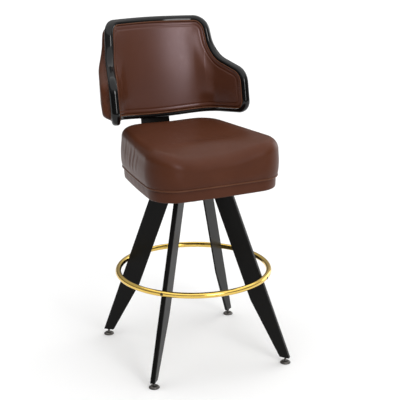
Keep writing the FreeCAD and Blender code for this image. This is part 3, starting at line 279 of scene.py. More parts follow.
def glide_cup():
    """A skirt with a rolled rim, then a quarter ellipse up to the neck, with a small step half way."""
    low = arc((CUP_RIM - CUP_ROLL, CUP_LIFT + CUP_ROLL), CUP_ROLL, -90, 0)
    high = arc((CUP_RIM - CUP_ROLL, CUP_LIFT + CUP_WALL), CUP_ROLL, 0, 70)
    rise = np.radians(np.linspace(*CUP_SWEEP, 16))
    base = CUP_LIFT + CUP_WALL + CUP_ROLL
    radius = CUP_NECK + (CUP_RIM - CUP_ROLL * 2 - CUP_NECK) * np.cos(rise)
    height = base + (CUP_TOP - CUP_COLLAR - base) * np.sin(rise)
    height += CUP_STEP * np.tanh((rise - CUP_STEP_AT) * CUP_STEP_SHARPNESS)
    inner = [(SOLE_RADIUS, SOLE_TOP - CUP_LAP), (SOLE_RADIUS, CUP_LIFT)]
    collar = [(CUP_NECK, CUP_TOP - CUP_COLLAR / 2), (CUP_NECK - CUP_COLLAR, CUP_TOP)]
    profile = np.vstack([inner, low, high, np.column_stack([radius, height]), collar])
    return skin(turned(profile, ROUND_POINTS))


def glide_sole():
    """A disc whose lower edge is rounded."""
    edge = arc((SOLE_RADIUS - SOLE_EDGE, SOLE_EDGE), SOLE_EDGE, -90, 0)
    profile = [(SOLE_FLAT, 0.0), *edge, (SOLE_RADIUS, SOLE_TOP), (SOLE_FLAT, SOLE_TOP)]
    return skin(turned(profile, ROUND_POINTS))


def glide_stem():
    """A ball-ended neck, then a thread: the radius dips with height and bearing along a helix."""
    height = np.arange(CUP_TOP, STEM_TOP, THREAD_PITCH / 8)[:, None]
    turns = height / THREAD_PITCH - angles(STEM_POINTS) / (2 * math.pi)
    ridge = 2 * np.abs(turns - np.round(turns))
    cut_in = np.clip((height - THREAD_START) / THREAD_PITCH, 0, 1)
    bead = STEM_BEAD * bell(height - STEM_BEAD_AT, STEM_BEAD_WIDTH)
    radius = STEM_RADIUS - THREAD_DEPTH * ridge * cut_in + bead
    return skin(turned(zip(radius, height[:, 0]), STEM_POINTS))


foot_spots = {}
for corner in CORNERS:
    low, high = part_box(f"glide_sole_{corner}")
    foot_spots[corner] = ((low.x + high.x) / 2, (low.y + high.y) / 2)
    for part, made, metal, slot in (
        ("cup", glide_cup, glide_steel, "glide_steel"),
        ("sole", glide_sole, nylon, "nylon"),
        ("stem", glide_stem, glide_steel, "glide_steel"),
    ):
        shape = laid(made(), (*foot_spots[corner], 0.0))
        piece(f"levelling_{part}_{corner}", shape, metal, f"glide_{corner}", slot, f"glide_{part}_{corner}")


# Legs: sheet steel folded to a closed blade that tapers from a wide web outside to a thin
# edge inside, kinked above the foot, and powder-coated satin black. A plug closes the foot.
LEG_LEVELS = (0.0201, 0.2085, 0.5927)
LEG_OUTER = (0.3469, 0.1325)
LEG_INNER = (0.3117, 0.2051, 0.0600)
LEG_EDGES = (0.0100, 0.0060, 0.0060)
LEG_WEB = 0.0170
LEG_SHEET = 0.0019
LEG_FOLD = 0.0026
LEG_RIM = ((0.006, LEG_SHEET), (0, LEG_SHEET), (0, 0.0006), (0.0002, 0.0002))
LEG_ROWS = (24, 60)
LEG_POINTS = 60
EDGE_FOLD_SHARE = 0.8
LEG_SHARP_FOLD = math.radians(50)

LEG_TONES = (0.0025, 0.0023, 0.0021), (0.0045, 0.0042, 0.0038)
leg_paint = hard_finish(
    "leg_paint", *LEG_TONES, 0.30, 0.42, 700.0, 0.00006,
    Specular_IOR_Level=0.13, Sheen_Weight=0.10, Sheen_Roughness=0.35,
)


def interpolated(points, known, wanted):
    """Points of a line at the wanted places, when its own points lie at the known ones."""
    return np.stack([np.interp(wanted, known, column) for column in points.T], axis=1)


def lengths(points):
    """Length of a line of points up to each of them."""
    return np.concatenate([[0], np.cumsum(np.linalg.norm(np.diff(points, axis=0), axis=1))])


def resample(points, count):
    """Points at even steps of length along a line of points."""
    length = lengths(points)
    return interpolated(points, length, np.linspace(0, length[-1], count))


def even_outline(line, count):
    """Even points round a closed line, and the unit ways that point out of it there."""
    loop = resample(np.vstack([line, line[:1]]), count + 1)[:-1]
    along = np.roll(loop, -1, axis=0) - np.roll(loop, 1, axis=0)
    along /= np.linalg.norm(along, axis=1)[:, None]
    return loop, np.stack([along[:, 1], -along[:, 0]], axis=1)


def blade_ring(inner, outer, edge, inset):
    """Rounded cut of the blade in its own plane: arcs at the four folds, straight between them."""
    inner, outer = inner + inset, outer - inset
    edge, web = edge / 2 - inset * EDGE_FOLD_SHARE, LEG_WEB / 2 - inset
    fold = LEG_FOLD - inset / 2
    tight = min(fold, edge * EDGE_FOLD_SHARE)
    folds = (
        (outer - fold, web - fold, fold),
        (inner + tight, edge - tight, tight),
        (inner + tight, tight - edge, tight),
        (outer - fold, fold - web, fold),
    )
    arcs = [arc((x, y), radius, 90 * i, 90 * i + 90) for i, (x, y, radius) in enumerate(folds)]
    return even_outline(np.vstack(arcs), LEG_POINTS)[0]


def leg_shape(bearing):
    """Rings of the blade up the leg; at the foot they turn in over the sheet's thickness."""
    foot, kink, top = LEG_LEVELS
    height = np.concatenate([np.linspace(foot, kink, LEG_ROWS[0]), np.linspace(kink, top, LEG_ROWS[1])[1:]])
    inner, edge = (np.interp(height, LEG_LEVELS, sizes) for sizes in (LEG_INNER, LEG_EDGES))
    outer = np.interp(height, (foot, top), LEG_OUTER)
    cuts = [(foot + rise, inner[0], outer[0], edge[0], inset) for rise, inset in LEG_RIM]
    cuts += [(*cut, 0.0) for cut in zip(height[1:], inner[1:], outer[1:], edge[1:])]
    rings = [np.column_stack([blade_ring(*cut), np.full(LEG_POINTS, z)]) for z, *cut in cuts]
    cos, sin = math.cos(bearing), math.sin(bearing)
    return laid(skin(np.array(rings)), (0, AXIS_Y, 0), ((cos, sin, 0), (-sin, cos, 0), (0, 0, 1)))


def finish_nodes(finish, *nodes):
    """Give carried-over nodes their material."""
    for node in nodes:
        materials = frame["nodes"][node].data.materials
        materials.clear()
        materials.append(finish)


leg_bearings = {}
for corner, (foot_x, foot_y) in foot_spots.items():
    leg_bearings[corner] = math.atan2(foot_y - AXIS_Y, foot_x)
    blade = leg_shape(leg_bearings[corner])
    piece(f"blade_{corner}", blade, leg_paint, "base", "leg_black", f"leg_{corner}", fold=LEG_SHARP_FOLD)
finish_nodes(leg_paint, "foot_plugs")


# Foot ring: brass tube bent to a circle round the legs and polished, with a flat seat milled
# at each leg for a dark button-head screw that goes through the tube into the leg.
RING_TUBE = 0.0095
RING_FLAT = 0.0015
RING_SEAT_HALF = 0.026
HEAD_RADIUS = 0.0048
HEAD_HEIGHT = 0.0028
HEAD_SEAT = 0.00505
HEAD_POINTS = 48
HEAD_RIM = 0.3
HEAD_SWEEP = 60
SOCKET_RADIUS = 0.0019
SOCKET_ROWS = ((0, 0.35), (0, 0.93), (0.0002, 0.985))
SHANK_RADIUS = 0.0025
SHANK_LENGTH = 0.018
ring_low, ring_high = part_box("foot_ring")
RING_HEIGHT = (ring_low.z + ring_high.z) / 2
RING_RADIUS = (ring_high.y - ring_low.y) / 2 - RING_TUBE
SCREW_SEAT = RING_RADIUS + RING_TUBE - RING_FLAT

BRASS_TONES = (0.72, 0.47, 0.10), (0.90, 0.64, 0.17)
SCREW_TONES = (0.05, 0.035, 0.02), (0.11, 0.08, 0.04)
brass = hard_finish("polished_brass", *BRASS_TONES, 0.10, 0.19, 1800.0, 0.00002, metallic=1.0)
screw_dark = hard_finish("screw_dark", *SCREW_TONES, 0.3, 0.45, 1500.0, 0.00003, metallic=0.8)


def ring_shape():
    """A torus whose outside is flattened where it lies within a screw's seat."""
    near = [centre + np.linspace(-RING_SEAT_HALF, RING_SEAT_HALF, 41) for centre in leg_bearings.values()]
    bearing = np.unique(np.round(np.concatenate([angles(480), *near]) % (2 * math.pi), 6))[:, None]
    tube = RING_TUBE * ways(angles(40))
    out = RING_RADIUS + tube[:, 0] + 0 * bearing
    up = tube[:, 1] + 0 * bearing
    for centre in leg_bearings.values():
        lean = bearing - centre
        seated = (np.hypot(out * np.sin(lean), up) < HEAD_SEAT) & (out * np.cos(lean) > SCREW_SEAT)
        out = np.where(seated, SCREW_SEAT / np.cos(lean), out)
    rings = np.stack([out * np.cos(bearing), out * np.sin(bearing), up], axis=-1)
    return laid(skin(rings, closed=True), (0, AXIS_Y, RING_HEIGHT))


def hexagon(flats, count):
    """Radius of a hexagon at even bearings, by the distance of its flats from the middle."""
    return flats / np.cos((angles(count) + math.pi / 6) % (math.pi / 3) - math.pi / 6)


def screw_shape():
    """A low dome with a six-sided socket, and a plain shank below it, pointing up Z."""
    socket = hexagon(SOCKET_RADIUS, HEAD_POINTS)
    rows = [(socket + wider, HEAD_HEIGHT * share) for wider, share in SOCKET_ROWS]
    for cos, sin in ways(np.radians(np.linspace(HEAD_SWEEP, 0, 10))):
        rows.append((HEAD_RADIUS * cos, HEAD_HEIGHT * (HEAD_RIM + (1 - HEAD_RIM) * sin)))
    rows += [(HEAD_RADIUS, 0.0), (SHANK_RADIUS, 0.0), (SHANK_RADIUS, -SHANK_LENGTH)]
    return skin(turned(rows, HEAD_POINTS))


def ring_screw(bearing):
    """A screw that lies in its seat and points away from the swivel axis."""
    cos, sin = math.cos(bearing), math.sin(bearing)
    spot = (SCREW_SEAT * cos, SCREW_SEAT * sin + AXIS_Y, RING_HEIGHT)
    return laid(screw_shape(), spot, ((-sin, cos, 0), (0, 0, 1), (cos, sin, 0)))


def merge(shapes):
    """Several shapes of points and faces as one."""
    points, faces = [], []
    for some_points, some_faces in shapes:
        start = sum(len(earlier) for earlier in points)
        faces += [[corner + start for corner in face] for face in some_faces]
        points.append(some_points)
    return np.vstack(points), faces


piece("brass_foot_ring", ring_shape(), brass, "base", "polished_brass", "foot_ring")
ring_screws = merge([ring_screw(bearing) for bearing in leg_bearings.values()])
piece("ring_button_screws", ring_screws, screw_dark, "base", "screw_black", "ring_screws")


# Plate, swivel and their fasteners: pressed and welded steel under the seat. The plates are
# painted black, the fasteners are zinc-plated, and the balls run in a plain steel cage.
ZINC_TONES = (0.42, 0.42, 0.40), (0.62, 0.61, 0.57)
SWIVEL_TONES = (0.012, 0.012, 0.012), (0.024, 0.023, 0.022)
BALL_TONES = (0.55, 0.55, 0.56), (0.68, 0.68, 0.70)
BRONZE_TONES = (0.40, 0.25, 0.11), (0.56, 0.37, 0.18)
zinc = hard_finish("zinc_plate", *ZINC_TONES, 0.28, 0.45, 1300.0, 0.00004, metallic=1.0)
swivel_paint = hard_finish("swivel_paint", *SWIVEL_TONES, 0.4, 0.55, 800.0, 0.00008)
ball_steel = hard_finish("ball_steel", *BALL_TONES, 0.08, 0.15, 2200.0, 0.00001, metallic=1.0)
bronze = hard_finish("bush_bronze", *BRONZE_TONES, 0.35, 0.5, 1500.0, 0.00003, metallic=1.0)

finish_nodes(leg_paint, "base_plate")
finish_nodes(swivel_paint, "swivel_lower_plate", "swivel_upper_plate")
finish_nodes(zinc, "plate_bolts", "plate_nuts", "pivot_bolt", "pivot_washer", "pivot_nut", "ball_retainer")
finish_nodes(zinc, "seat_bolts", "seat_tee_nuts", "bracket_bolts", "bracket_tee_nuts", "back_tee_nuts")
finish_nodes(ball_steel, "bearing_balls")
finish_nodes(bronze, "pivot_bush")


# Board, frame and shell: birch plywood cut to the seat's outline, strips under its rim, and a
# bent shell inside the back. All of it is covered, and only its edges show from below.
def plywood_finish():
    """Streaks of grain: a noise stretched along X, finest along Z, colours it and lifts it."""
    finish = new_finish("plywood", (0.55, 0.38, 0.22), 0.6)
    tree = finish.node_tree
    place = tree.nodes.new("ShaderNodeTexCoord")
    stretch = add(tree, "ShaderNodeMapping", Scale=(6.0, 90.0, 500.0))
    streaks = add(tree, "ShaderNodeTexNoise", Scale=1.0, Detail=5.0)
    wire(tree, (place, "Object", stretch, "Vector"), (stretch, "Vector", streaks, "Vector"))
    wire_colours(finish, streaks, "Fac", ((0.36, 0.22, 0.11), (0.58, 0.40, 0.23), (0.68, 0.50, 0.31)))
    wire_bump(finish, streaks, "Fac", 0.0001)
    return finish


finish_nodes(plywood_finish(), "seat_board", "seat_frame", "back_shell")


# Dust cover: black non-woven cloth tacked under the frame, cut away round the swivel. It
# sags a little between the tacks.
DUST_SAG = 0.0016
DUST_THICK = 0.0006
DUST_RINGS = 22
DUST_INSET = 0.0083
DUST_HOLE = 0.1520
TACKS = 28
TACK_SAG = 0.3
SEAT_FRONT_HALF = 0.2300
SEAT_REAR_HALF = 0.1715
SEAT_FRONT = 0.2196
SEAT_REAR = 0.2086
SEAT_ROUNDS = (0.0862, 0.0862, 0.0907, 0.0907)
SEAT_BOWS = (0.0066, 0.0069, 0.0040, 0.0069)
SEAT_POINTS = 480
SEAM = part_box("seat_board")[1].z
BAND_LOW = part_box("seat_band")[0].z
dust_low, dust_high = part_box("dust_cover")


def bow_circle(start, end, bow):
    """Centre and radius of the arc from start to end that bows out to the right by bow."""
    chord = end - start
    length = np.linalg.norm(chord)
    radius = (length**2 / 4 + bow**2) / (2 * bow)
    outward = np.array([chord[1], -chord[0]]) / length
    return (start + end) / 2 - outward * (radius - bow), radius


def meeting(one, one_radius, two, two_radius, near):
    """The point nearest to near where two circles round one and two meet."""
    apart = two - one
    gap = np.linalg.norm(apart)
    along = (gap**2 + one_radius**2 - two_radius**2) / (2 * gap)
    aside = math.sqrt(one_radius**2 - along**2)
    way = apart / gap
    square = np.array([-way[1], way[0]]) * aside
    spots = (one + way * along + square, one + way * along - square)
    return min(spots, key=lambda spot: np.linalg.norm(spot - near))


def arc_line(centre, start, end, steps=60):
    """Points of the shorter arc about centre from start to end."""
    first, last = (math.atan2(y, x) for x, y in (start - centre, end - centre))
    sweep = (last - first + math.pi) % (2 * math.pi) - math.pi
    return centre + np.linalg.norm(start - centre) * ways(first + sweep * np.linspace(0, 1, steps))


def bowed_outline(corners, bows, radii, count):
    """Even points and outward ways along a closed outline of bowed sides and tangent corner arcs."""
    corners = np.array(corners, float)
    sides = [bow_circle(corner, corners[(i + 1) % 4], bows[i]) for i, corner in enumerate(corners)]
    line = []
    for i, radius in enumerate(radii):
        before, before_radius = sides[i - 1]
        after, after_radius = sides[i]
        hub = meeting(before, before_radius - radius, after, after_radius - radius, corners[i])
        start = before + (hub - before) * before_radius / (before_radius - radius)
        end = after + (hub - after) * after_radius / (after_radius - radius)
        if line:
            line.append(arc_line(before, line[-1][-1], start)[1:-1])
        line.append(arc_line(hub, start, end))
    line.append(arc_line(sides[3][0], line[-1][-1], line[0][0])[1:-1])
    return even_outline(np.vstack(line), count)


seat_corners = ((-SEAT_FRONT_HALF, -SEAT_FRONT), (SEAT_FRONT_HALF, -SEAT_FRONT))
seat_corners += ((SEAT_REAR_HALF, SEAT_REAR), (-SEAT_REAR_HALF, SEAT_REAR))
seat_line, seat_way = bowed_outline(seat_corners, SEAT_BOWS, SEAT_ROUNDS, SEAT_POINTS)


def dust_shape():
    """Rings from the tacked rim in to the round hole, sagging half way, then back above them."""
    rim = seat_line - seat_way * DUST_INSET
    hole = DUST_HOLE * rim / np.linalg.norm(rim, axis=1)[:, None]
    share = np.linspace(0, 1, DUST_RINGS)[:, None]
    flat = rim * (1 - share[..., None]) + hole * share[..., None]
    tacks = TACK_SAG * np.cos(np.arctan2(rim[:, 1], rim[:, 0]) * TACKS) * (1 - share) ** 2
    height = dust_low.z - DUST_SAG * (np.sin(math.pi * share) + tacks)
    low = np.concatenate([flat + (0, AXIS_Y), height[..., None]], axis=2)
    return skin(np.concatenate([low, low[::-1] + (0, 0, DUST_THICK)]), closed=True)


def dust_finish():
    """Felted fibres: a fine crossed noise, dull and nearly black."""
    finish = new_finish("dust_cloth", (0.012, 0.012, 0.013), 0.9, Sheen_Weight=0.3, Sheen_Roughness=0.5)
    effect = place_effect(finish, hard_surface, Grain_Scale=1600.0, Drift_Scale=60.0, Grain_Share=0.8)
    wire_colours(finish, effect, "Grain", ((0.006, 0.006, 0.007), (0.022, 0.022, 0.023)))
    wire_bump(finish, effect, "Height", 0.0003)
    return finish


dust = piece("dust_cloth_cover", dust_shape(), dust_finish(), "seat", "black_cambric", "dust_cover")


# Band and piping: a strip of the same upholstery, padded thinly, wrapped round the edge of
# the board and tacked under it, with a piped seam between it and the cushion above.
BAND_SET = 0.0010
BAND_SWELL = 0.001176
BAND_ROLL = 0.0050
BAND_THICK = 0.0050
BAND_TUCK = 0.0018
BAND_FLARE = 0.0008
BAND_GAP = 0.0004
BAND_WAVE = 0.00035
BAND_WAVES = (9, 23)
BAND_WAVE_LEAN = 1.4 * math.pi
BAND_WAVE_SHIFT = 1.1
BAND_INSIDE = -0.004
WELT_RADIUS = 0.0030
WELT_REACH = 0.0040
WELT_GATHERS = (0.03, 150, 13)
PIPING_POINTS = 14
GATHER_FADE = 0.4
GRAIN_WARP = 0.0012
GRAIN_DEPTH = 0.00009
LEATHER_SHINE = (1.0, 0.82, 0.90, 1.0)
BROWNS = (0.062, 0.0180, 0.0068), (0.080, 0.0242, 0.0095), (0.100, 0.033, 0.0145)
# The piping is the same brown leather; these lighter browns are painted sheen, the light line the piping
# catches along its seams.
PIPING_BROWNS_PAINTED_SHEEN = (0.085, 0.030, 0.013), (0.115, 0.043, 0.020), (0.150, 0.062, 0.033)


def leather_effect():
    """Pebbled grain from smooth cells, pores between them, broad tone and fine creases. The height is
    1 less 0.9 of the cells, plus 0.25 of the pores, less 0.35 of the creases."""
    inputs = {"Pebble Scale": 620.0, "Tone Scale": 7.0, "Crease Scale": 55.0}
    tree, given, out = new_effect("leather_grain", inputs, ("Height", "Tone", "Rub"))
    place = tree.nodes.new("ShaderNodeTexCoord")
    warp = add(tree, "ShaderNodeTexNoise", Scale=180.0, Detail=2.0)
    shift = add(tree, "ShaderNodeVectorMath", {"operation": "MULTIPLY_ADD"})
    shift.inputs[1].default_value = (GRAIN_WARP,) * 3
    pebbles = add(tree, "ShaderNodeTexVoronoi", {"feature": "SMOOTH_F1"}, Smoothness=0.6)
    pores = add(tree, "ShaderNodeTexNoise", Scale=2600.0, Detail=2.0)
    tone = add(tree, "ShaderNodeTexNoise", Detail=4.0, Roughness=0.5)
    crease = add(tree, "ShaderNodeTexNoise", {"noise_type": "RIDGED_MULTIFRACTAL"}, Detail=3.0)
    for node in (warp, pores, tone, crease):
        wire(tree, (place, "Object", node, "Vector"))
    wire(tree, (warp, "Color", shift, 0), (place, "Object", shift, 2), (shift, "Vector", pebbles, "Vector"))
    for name, node in (("Pebble", pebbles), ("Tone", tone), ("Crease", crease)):
        wire(tree, (given, f"{name} Scale", node, "Scale"))
    height = None
    for node, output, share in ((pebbles, "Distance", -0.9), (pores, "Fac", 0.25), (crease, "Fac", -0.35)):
        total = add(tree, "ShaderNodeMath", {"operation": "MULTIPLY_ADD"})
        total.inputs[1].default_value = share
        total.inputs[2].default_value = 1.0
        wire(tree, (node, output, total, 0))
        if height:
            wire(tree, (height, "Value", total, 2))
        height = total
    wire(tree, (height, "Value", out, "Height"), (tone, "Fac", out, "Tone"), (crease, "Fac", out, "Rub"))
    return tree


leather_grain = leather_effect()


def leather_finish(name, gloss, browns, rough_low, rough_high, pebble=620.0):
    """Brown upholstery leather: tone drifts from dark to light, and rubbed creases are glossier."""
    finish = new_finish(name, browns[1], rough_low, Specular_IOR_Level=gloss, Specular_Tint=LEATHER_SHINE)
    effect = place_effect(finish, leather_grain, Pebble_Scale=pebble)
    wire_colours(finish, effect, "Tone", browns)
    wire_range(finish, effect, "Rub", "Roughness", rough_high, rough_low)
    wire_bump(finish, effect, "Height", GRAIN_DEPTH, 0.6)
    return finish


seat_leather = leather_finish("seat_leather", 0.18, BROWNS, 0.31, 0.39)
back_leather = leather_finish("back_leather", 0.54, BROWNS, 0.29, 0.36)
# Same leather as the seat, made lighter as painted sheen along the piping.
piping_leather = leather_finish("piping_leather", 0.17, PIPING_BROWNS_PAINTED_SHEEN, 0.26, 0.38, 900.0)


def seat_ring(grow, height):
    """The seat's outline moved outwards by grow, at a height."""
    at = seat_line + seat_way * np.reshape(grow, (-1, 1))
    return np.column_stack([at + (0, AXIS_Y), np.full(SEAT_POINTS, height)])


def band_shape():
    """Rings round the strip's section: a softly swollen face that rolls under and comes up inside.
    Two sines along the outline make it wavy half way up."""
    top = SEAM - BAND_GAP
    start = BAND_LOW + BAND_ROLL
    curl = arc((-BAND_SET - BAND_ROLL, start), BAND_ROLL, -90, -8, 8)
    rise = np.linspace(0, 1, 14)
    face = np.column_stack([BAND_SWELL * np.sin(math.pi * rise) - BAND_SET, start + (top - start) * rise])
    face[-1] = (-BAND_TUCK, top)
    inside = [(-BAND_THICK, top), (-BAND_THICK, start), (-BAND_THICK - BAND_FLARE, BAND_LOW)]
    turn = angles(SEAT_POINTS)
    rings = []
    for grow, height in np.vstack([curl, face, inside]):
        share = np.clip((height - BAND_LOW) / (top - BAND_LOW), 0, 1)
        wave = np.sin(BAND_WAVES[0] * turn + BAND_WAVE_LEAN * share)
        wave = wave * np.sin(BAND_WAVES[1] * turn + BAND_WAVE_SHIFT)
        if grow > BAND_INSIDE:
            grow = grow + BAND_WAVE * wave * math.sin(math.pi * share)
        rings.append(seat_ring(grow, height))
    return skin(np.array(rings), closed=True)


def piping(line, way, radius, reach, off, gathers):
    """A tube beside a closed line: its points in the line's plane, and how far they stand off it. Its
    radius is drawn in and out where the covering gathers, by a sine that a slower one fades."""
    amount, count, drift = gathers
    turn = angles(len(line))
    fade = 1 - GATHER_FADE + GATHER_FADE * np.sin(drift * turn)
    swell = radius * (1 + amount * np.sin(count * turn) * fade)
    tube = swell[:, None, None] * ways(angles(PIPING_POINTS))
    return line[:, None] + way[:, None] * (reach + tube[..., :1]), off + tube[..., 1]


piece("upholstered_band", band_shape(), seat_leather, "seat", "brown_leather", "seat_band")
# The seat's piping wears the lighter leather: painted sheen along the seam.
welt_at, welt_height = piping(seat_line, seat_way, WELT_RADIUS, WELT_REACH, SEAM - WELT_RADIUS, WELT_GATHERS)
welt_rings = np.concatenate([welt_at + (0, AXIS_Y), welt_height[..., None]], axis=2)
piece("seat_piping", skin(welt_rings, closed=True), piping_leather, "seat", "brown_leather", "seat_welt")


# Cushion: thick foam under one stretched piece of upholstery, drawn in at the seam, fullest
# half way up, rolled over to a raised rim round a shallow dish, and folded where it is gathered.
CUSHION_CELLS = 161
CUSHION_SEAM = 0.0050
CUSHION_BULGE = 0.0095
CUSHION_SHOULDER = 0.0085
CUSHION_GAP = 0.0003
CUSHION_FLOOR = 0.0002
CUSHION_HOLD = 0.006
CUSHION_PRESSURE = 3.0
CUSHION_SLACK = 0.01
CUSHION_CAP = 0.0035
UNDER_SHARE = 0.985
BULGE_SHARE = 0.62
BULGE_POWER = 0.8
WALL_RUN = 0.0970
SHOULDER_ROUND = 0.0250
FRONT_ROUND = 0.0130
FRONT_SPAN = (-0.02, 0.20)
CUSHION_TOP = 0.1218
CUSHION_TILT = math.radians(1.12)
DISH_DEPTH = 0.0100
FRONT_DROP = 0.0310
DROP_SPAN = (0.1000, 0.2350)
DROP_LEFT = (-0.2700, -0.0600)
DROP_RIGHT = (0.0000, 0.2100)
CLOTH_MOMENTS = 20
CLOTH_SMOOTH = 16
CLOTH = {
    "quality": 6,
    "mass": 0.35,
    "tension_stiffness": 25,
    "compression_stiffness": 25,
    "shear_stiffness": 12,
    "bending_stiffness": 1.2,
    "use_pressure": True,
    "vertex_group_mass": "held",
}
FOLD_HOLLOW = 0.55
FOLD_HOLLOW_AT = 1.9
FOLD_FADE = 4
CUSHION_FOLDS = (
    (0.940, 0.0052, 0.0007, 0.022, 0.096, 0.012),
    (0.917, 0.0048, 0.0012, 0.014, 0.110, 0.010),
    (0.893, 0.0056, 0.0011, 0.016, 0.104, 0.007),
    (0.860, 0.0046, 0.0008, 0.020, 0.112, -0.003),
)


def square_to_round(cells):
    """A square grid laid on a disc: its share of the radius, and its bearing, at every point."""
    side = np.linspace(-1, 1, cells)
    across, along = np.meshgrid(side, side)
    x = across * np.sqrt(1 - along**2 / 2)
    y = along * np.sqrt(1 - across**2 / 2)
    return np.clip(np.hypot(x, y), 0, 1), np.arctan2(y, x)


def numbered(rows, columns):
    """The numbers of a grid's points, row by row."""
    return np.arange(rows * columns).reshape(rows, columns)


def border(index):
    """The numbers round the edge of a grid, in order."""
    return np.concatenate([index[0, :-1], index[:-1, -1], index[-1, :0:-1], index[:0:-1, 0]])


def lid(points, under):
    """A grid of points as the face of a closed body, whose rim turns down to under and is closed there."""
    index = numbered(*points.shape[:2])
    rim = border(index)
    ahead = np.roll(np.arange(len(rim)), -1)
    low = np.arange(len(rim)) + index.size
    hub = np.full(len(rim), index.size + len(rim))
    faces = quads(index) + np.stack([rim[ahead], rim, low, low[ahead]], axis=-1).tolist()
    faces += np.stack([low[ahead], low, hub], axis=-1).tolist()
    return np.vstack([points.reshape(-1, 3), under, under.mean(axis=0)]), faces


def ease(value, low, high):
    """0 below low, 1 above high, smooth between them."""
    share = np.clip((value - low) / (high - low), 0, 1)
    return share**2 * (3 - 2 * share)


def cushion_top(x, y):
    """Height of the top over the plan: it falls gently forward, and more steeply over the front edge,
    where the sitter's legs have pressed it down."""
    drop = ease(x, *DROP_LEFT) * (1 - ease(x, *DROP_RIGHT)) * ease(-y, *DROP_SPAN)
    return SEAM + CUSHION_TOP + y * math.tan(CUSHION_TILT) - FRONT_DROP * drop


def cushion_points(cells):
    """The whole cushion over a square grid: up a nearly upright side, round the shoulder, over the top.
    With them come the run from the seam and the place on the outline."""
    share, bearing = square_to_round(cells)
    turn = np.unwrap(np.arctan2(seat_line[:, 1], seat_line[:, 0]))
    turn = np.concatenate([turn - 2 * math.pi, turn, turn + 2 * math.pi])
    spot = np.interp(bearing, turn, np.arange(-SEAT_POINTS, SEAT_POINTS * 2))
    low = np.floor(spot).astype(int)
    part = (spot - low)[..., None]
    base, way = (
        field[low % SEAT_POINTS] * (1 - part) + field[(low + 1) % SEAT_POINTS] * part
        for field in (seat_line, seat_way)
    )
    shoulder = SHOULDER_ROUND + FRONT_ROUND * ease(-base[..., 1], *FRONT_SPAN)
    shoulder_run = shoulder * math.pi / 2
    inner = np.linalg.norm(base + way * (CUSHION_SHOULDER - shoulder)[..., None], axis=-1)
    run = (1 - share) * (WALL_RUN + shoulder_run + inner)
    up = np.clip(run / WALL_RUN, 0, 1)
    over = np.clip((run - WALL_RUN) / shoulder, 0, math.pi / 2)
    swell = np.sin(np.clip(up / BULGE_SHARE, 0, 1) * math.pi / 2) ** BULGE_POWER
    outwards = CUSHION_SEAM + (CUSHION_BULGE - CUSHION_SEAM) * swell - shoulder * (1 - np.cos(over))
    outwards -= (CUSHION_BULGE - CUSHION_SHOULDER) * ease(up, BULGE_SHARE, 1.0)
    scale = np.clip(1 - (run - WALL_RUN - shoulder_run) / inner, 0, 1)
    at = (base + way * outwards[..., None]) * scale[..., None]
    top = cushion_top(at[..., 0], at[..., 1])
    start = SEAM + CUSHION_GAP
    wall = start + up * (top - shoulder - start)
    dish = DISH_DEPTH * (1 - scale**2) ** 2
    z = np.where(up < 1, wall, top - shoulder * (1 - np.sin(over)) - dish)
    return np.stack([at[..., 0], at[..., 1] + AXIS_Y, z], axis=-1), run, spot / SEAT_POINTS


def surface_ways(points):
    """Unit ways square to a grid of points, pointing up or out."""
    way = np.cross(np.gradient(points, axis=1), np.gradient(points, axis=0))
    return way / np.maximum(np.linalg.norm(way, axis=-1, keepdims=True), 1e-12)


def smooth_grid(field, times):
    """Average each point of a grid with its neighbours, a few times; the rim stays."""
    for _ in range(times):
        beside = field[:-2, 1:-1] + field[2:, 1:-1] + field[1:-1, :-2] + field[1:-1, 2:]
        inner = field[1:-1, 1:-1] * 0.5 + 0.125 * beside
        field = field.copy()
        field[1:-1, 1:-1] = inner
    return field


def double_grid(field):
    """Twice as many steps each way, halved linearly."""
    for axis in (0, 1):
        field = np.moveaxis(field, axis, 0)
        out = np.empty((field.shape[0] * 2 - 1,) + field.shape[1:])
        out[::2] = field
        out[1::2] = (field[1:] + field[:-1]) / 2
        field = np.moveaxis(out, 0, axis)
    return field


def settle(name, points, under, hold, pressure, slack, cap):
    """Let the covering settle as cloth: a copy on every other point is blown up from inside while its
    rim is held, and what it moved, at most cap, is carried back to the full grid."""
    coarse = points[::2, ::2]
    index = numbered(*coarse.shape[:2])
    shape = lid(coarse, under[::2])
    body = build(name + "_cloth", shape, seat_leather, SHARP_FOLD)
    held = body.vertex_groups.new(name="held")
    weight = np.round(hold[::2, ::2].reshape(-1), 2)
    for level in np.unique(weight[weight > 0]):
        held.add(np.flatnonzero(weight == level).tolist(), float(level), "REPLACE")
    held.add(list(range(index.size, len(shape[0]))) + border(index).tolist(), 1.0, "REPLACE")
    settings = body.modifiers.new("settle", "CLOTH").settings
    for setting, value in {**CLOTH, "uniform_pressure_force": pressure, "shrink_min": -slack}.items():
        setattr(settings, setting, value)
    settings.effector_weights.gravity = 0
    for moment in range(CLOTH_MOMENTS):
        bpy.context.scene.frame_set(moment + 1)
    now = np.empty(len(shape[0]) * 3)
    body.evaluated_get(bpy.context.evaluated_depsgraph_get()).data.vertices.foreach_get("co", now)
    shift = now.reshape(-1, 3)[: index.size].reshape(coarse.shape) - coarse
    length = np.linalg.norm(shift, axis=-1, keepdims=True)
    shift = smooth_grid(shift * cap * np.tanh(length / cap) / np.maximum(length, 1e-9), CLOTH_SMOOTH)
    bpy.data.objects.remove(body)
    bpy.context.scene.frame_set(1)
    return points + smooth_grid(double_grid(shift), 2)


def fold_field(spot, run, folds):
    """Soft ridges that run up the side, each with a hollow beside it. A fold has a place on the outline,
    a width, a height, a start, an end and a slant."""
    lift = np.zeros_like(run)
    for place, width, tall, start, end, slant in folds:
        lean = (run - start) / (end - start)
        off = (spot - place - slant * lean + 0.5) % 1 - 0.5
        ridge = bell(off, width) - FOLD_HOLLOW * bell(off - FOLD_HOLLOW_AT * width, width)
        lift += tall * ridge * ease(np.minimum(lean, 1 - lean) * FOLD_FADE, 0, 1)
    return lift


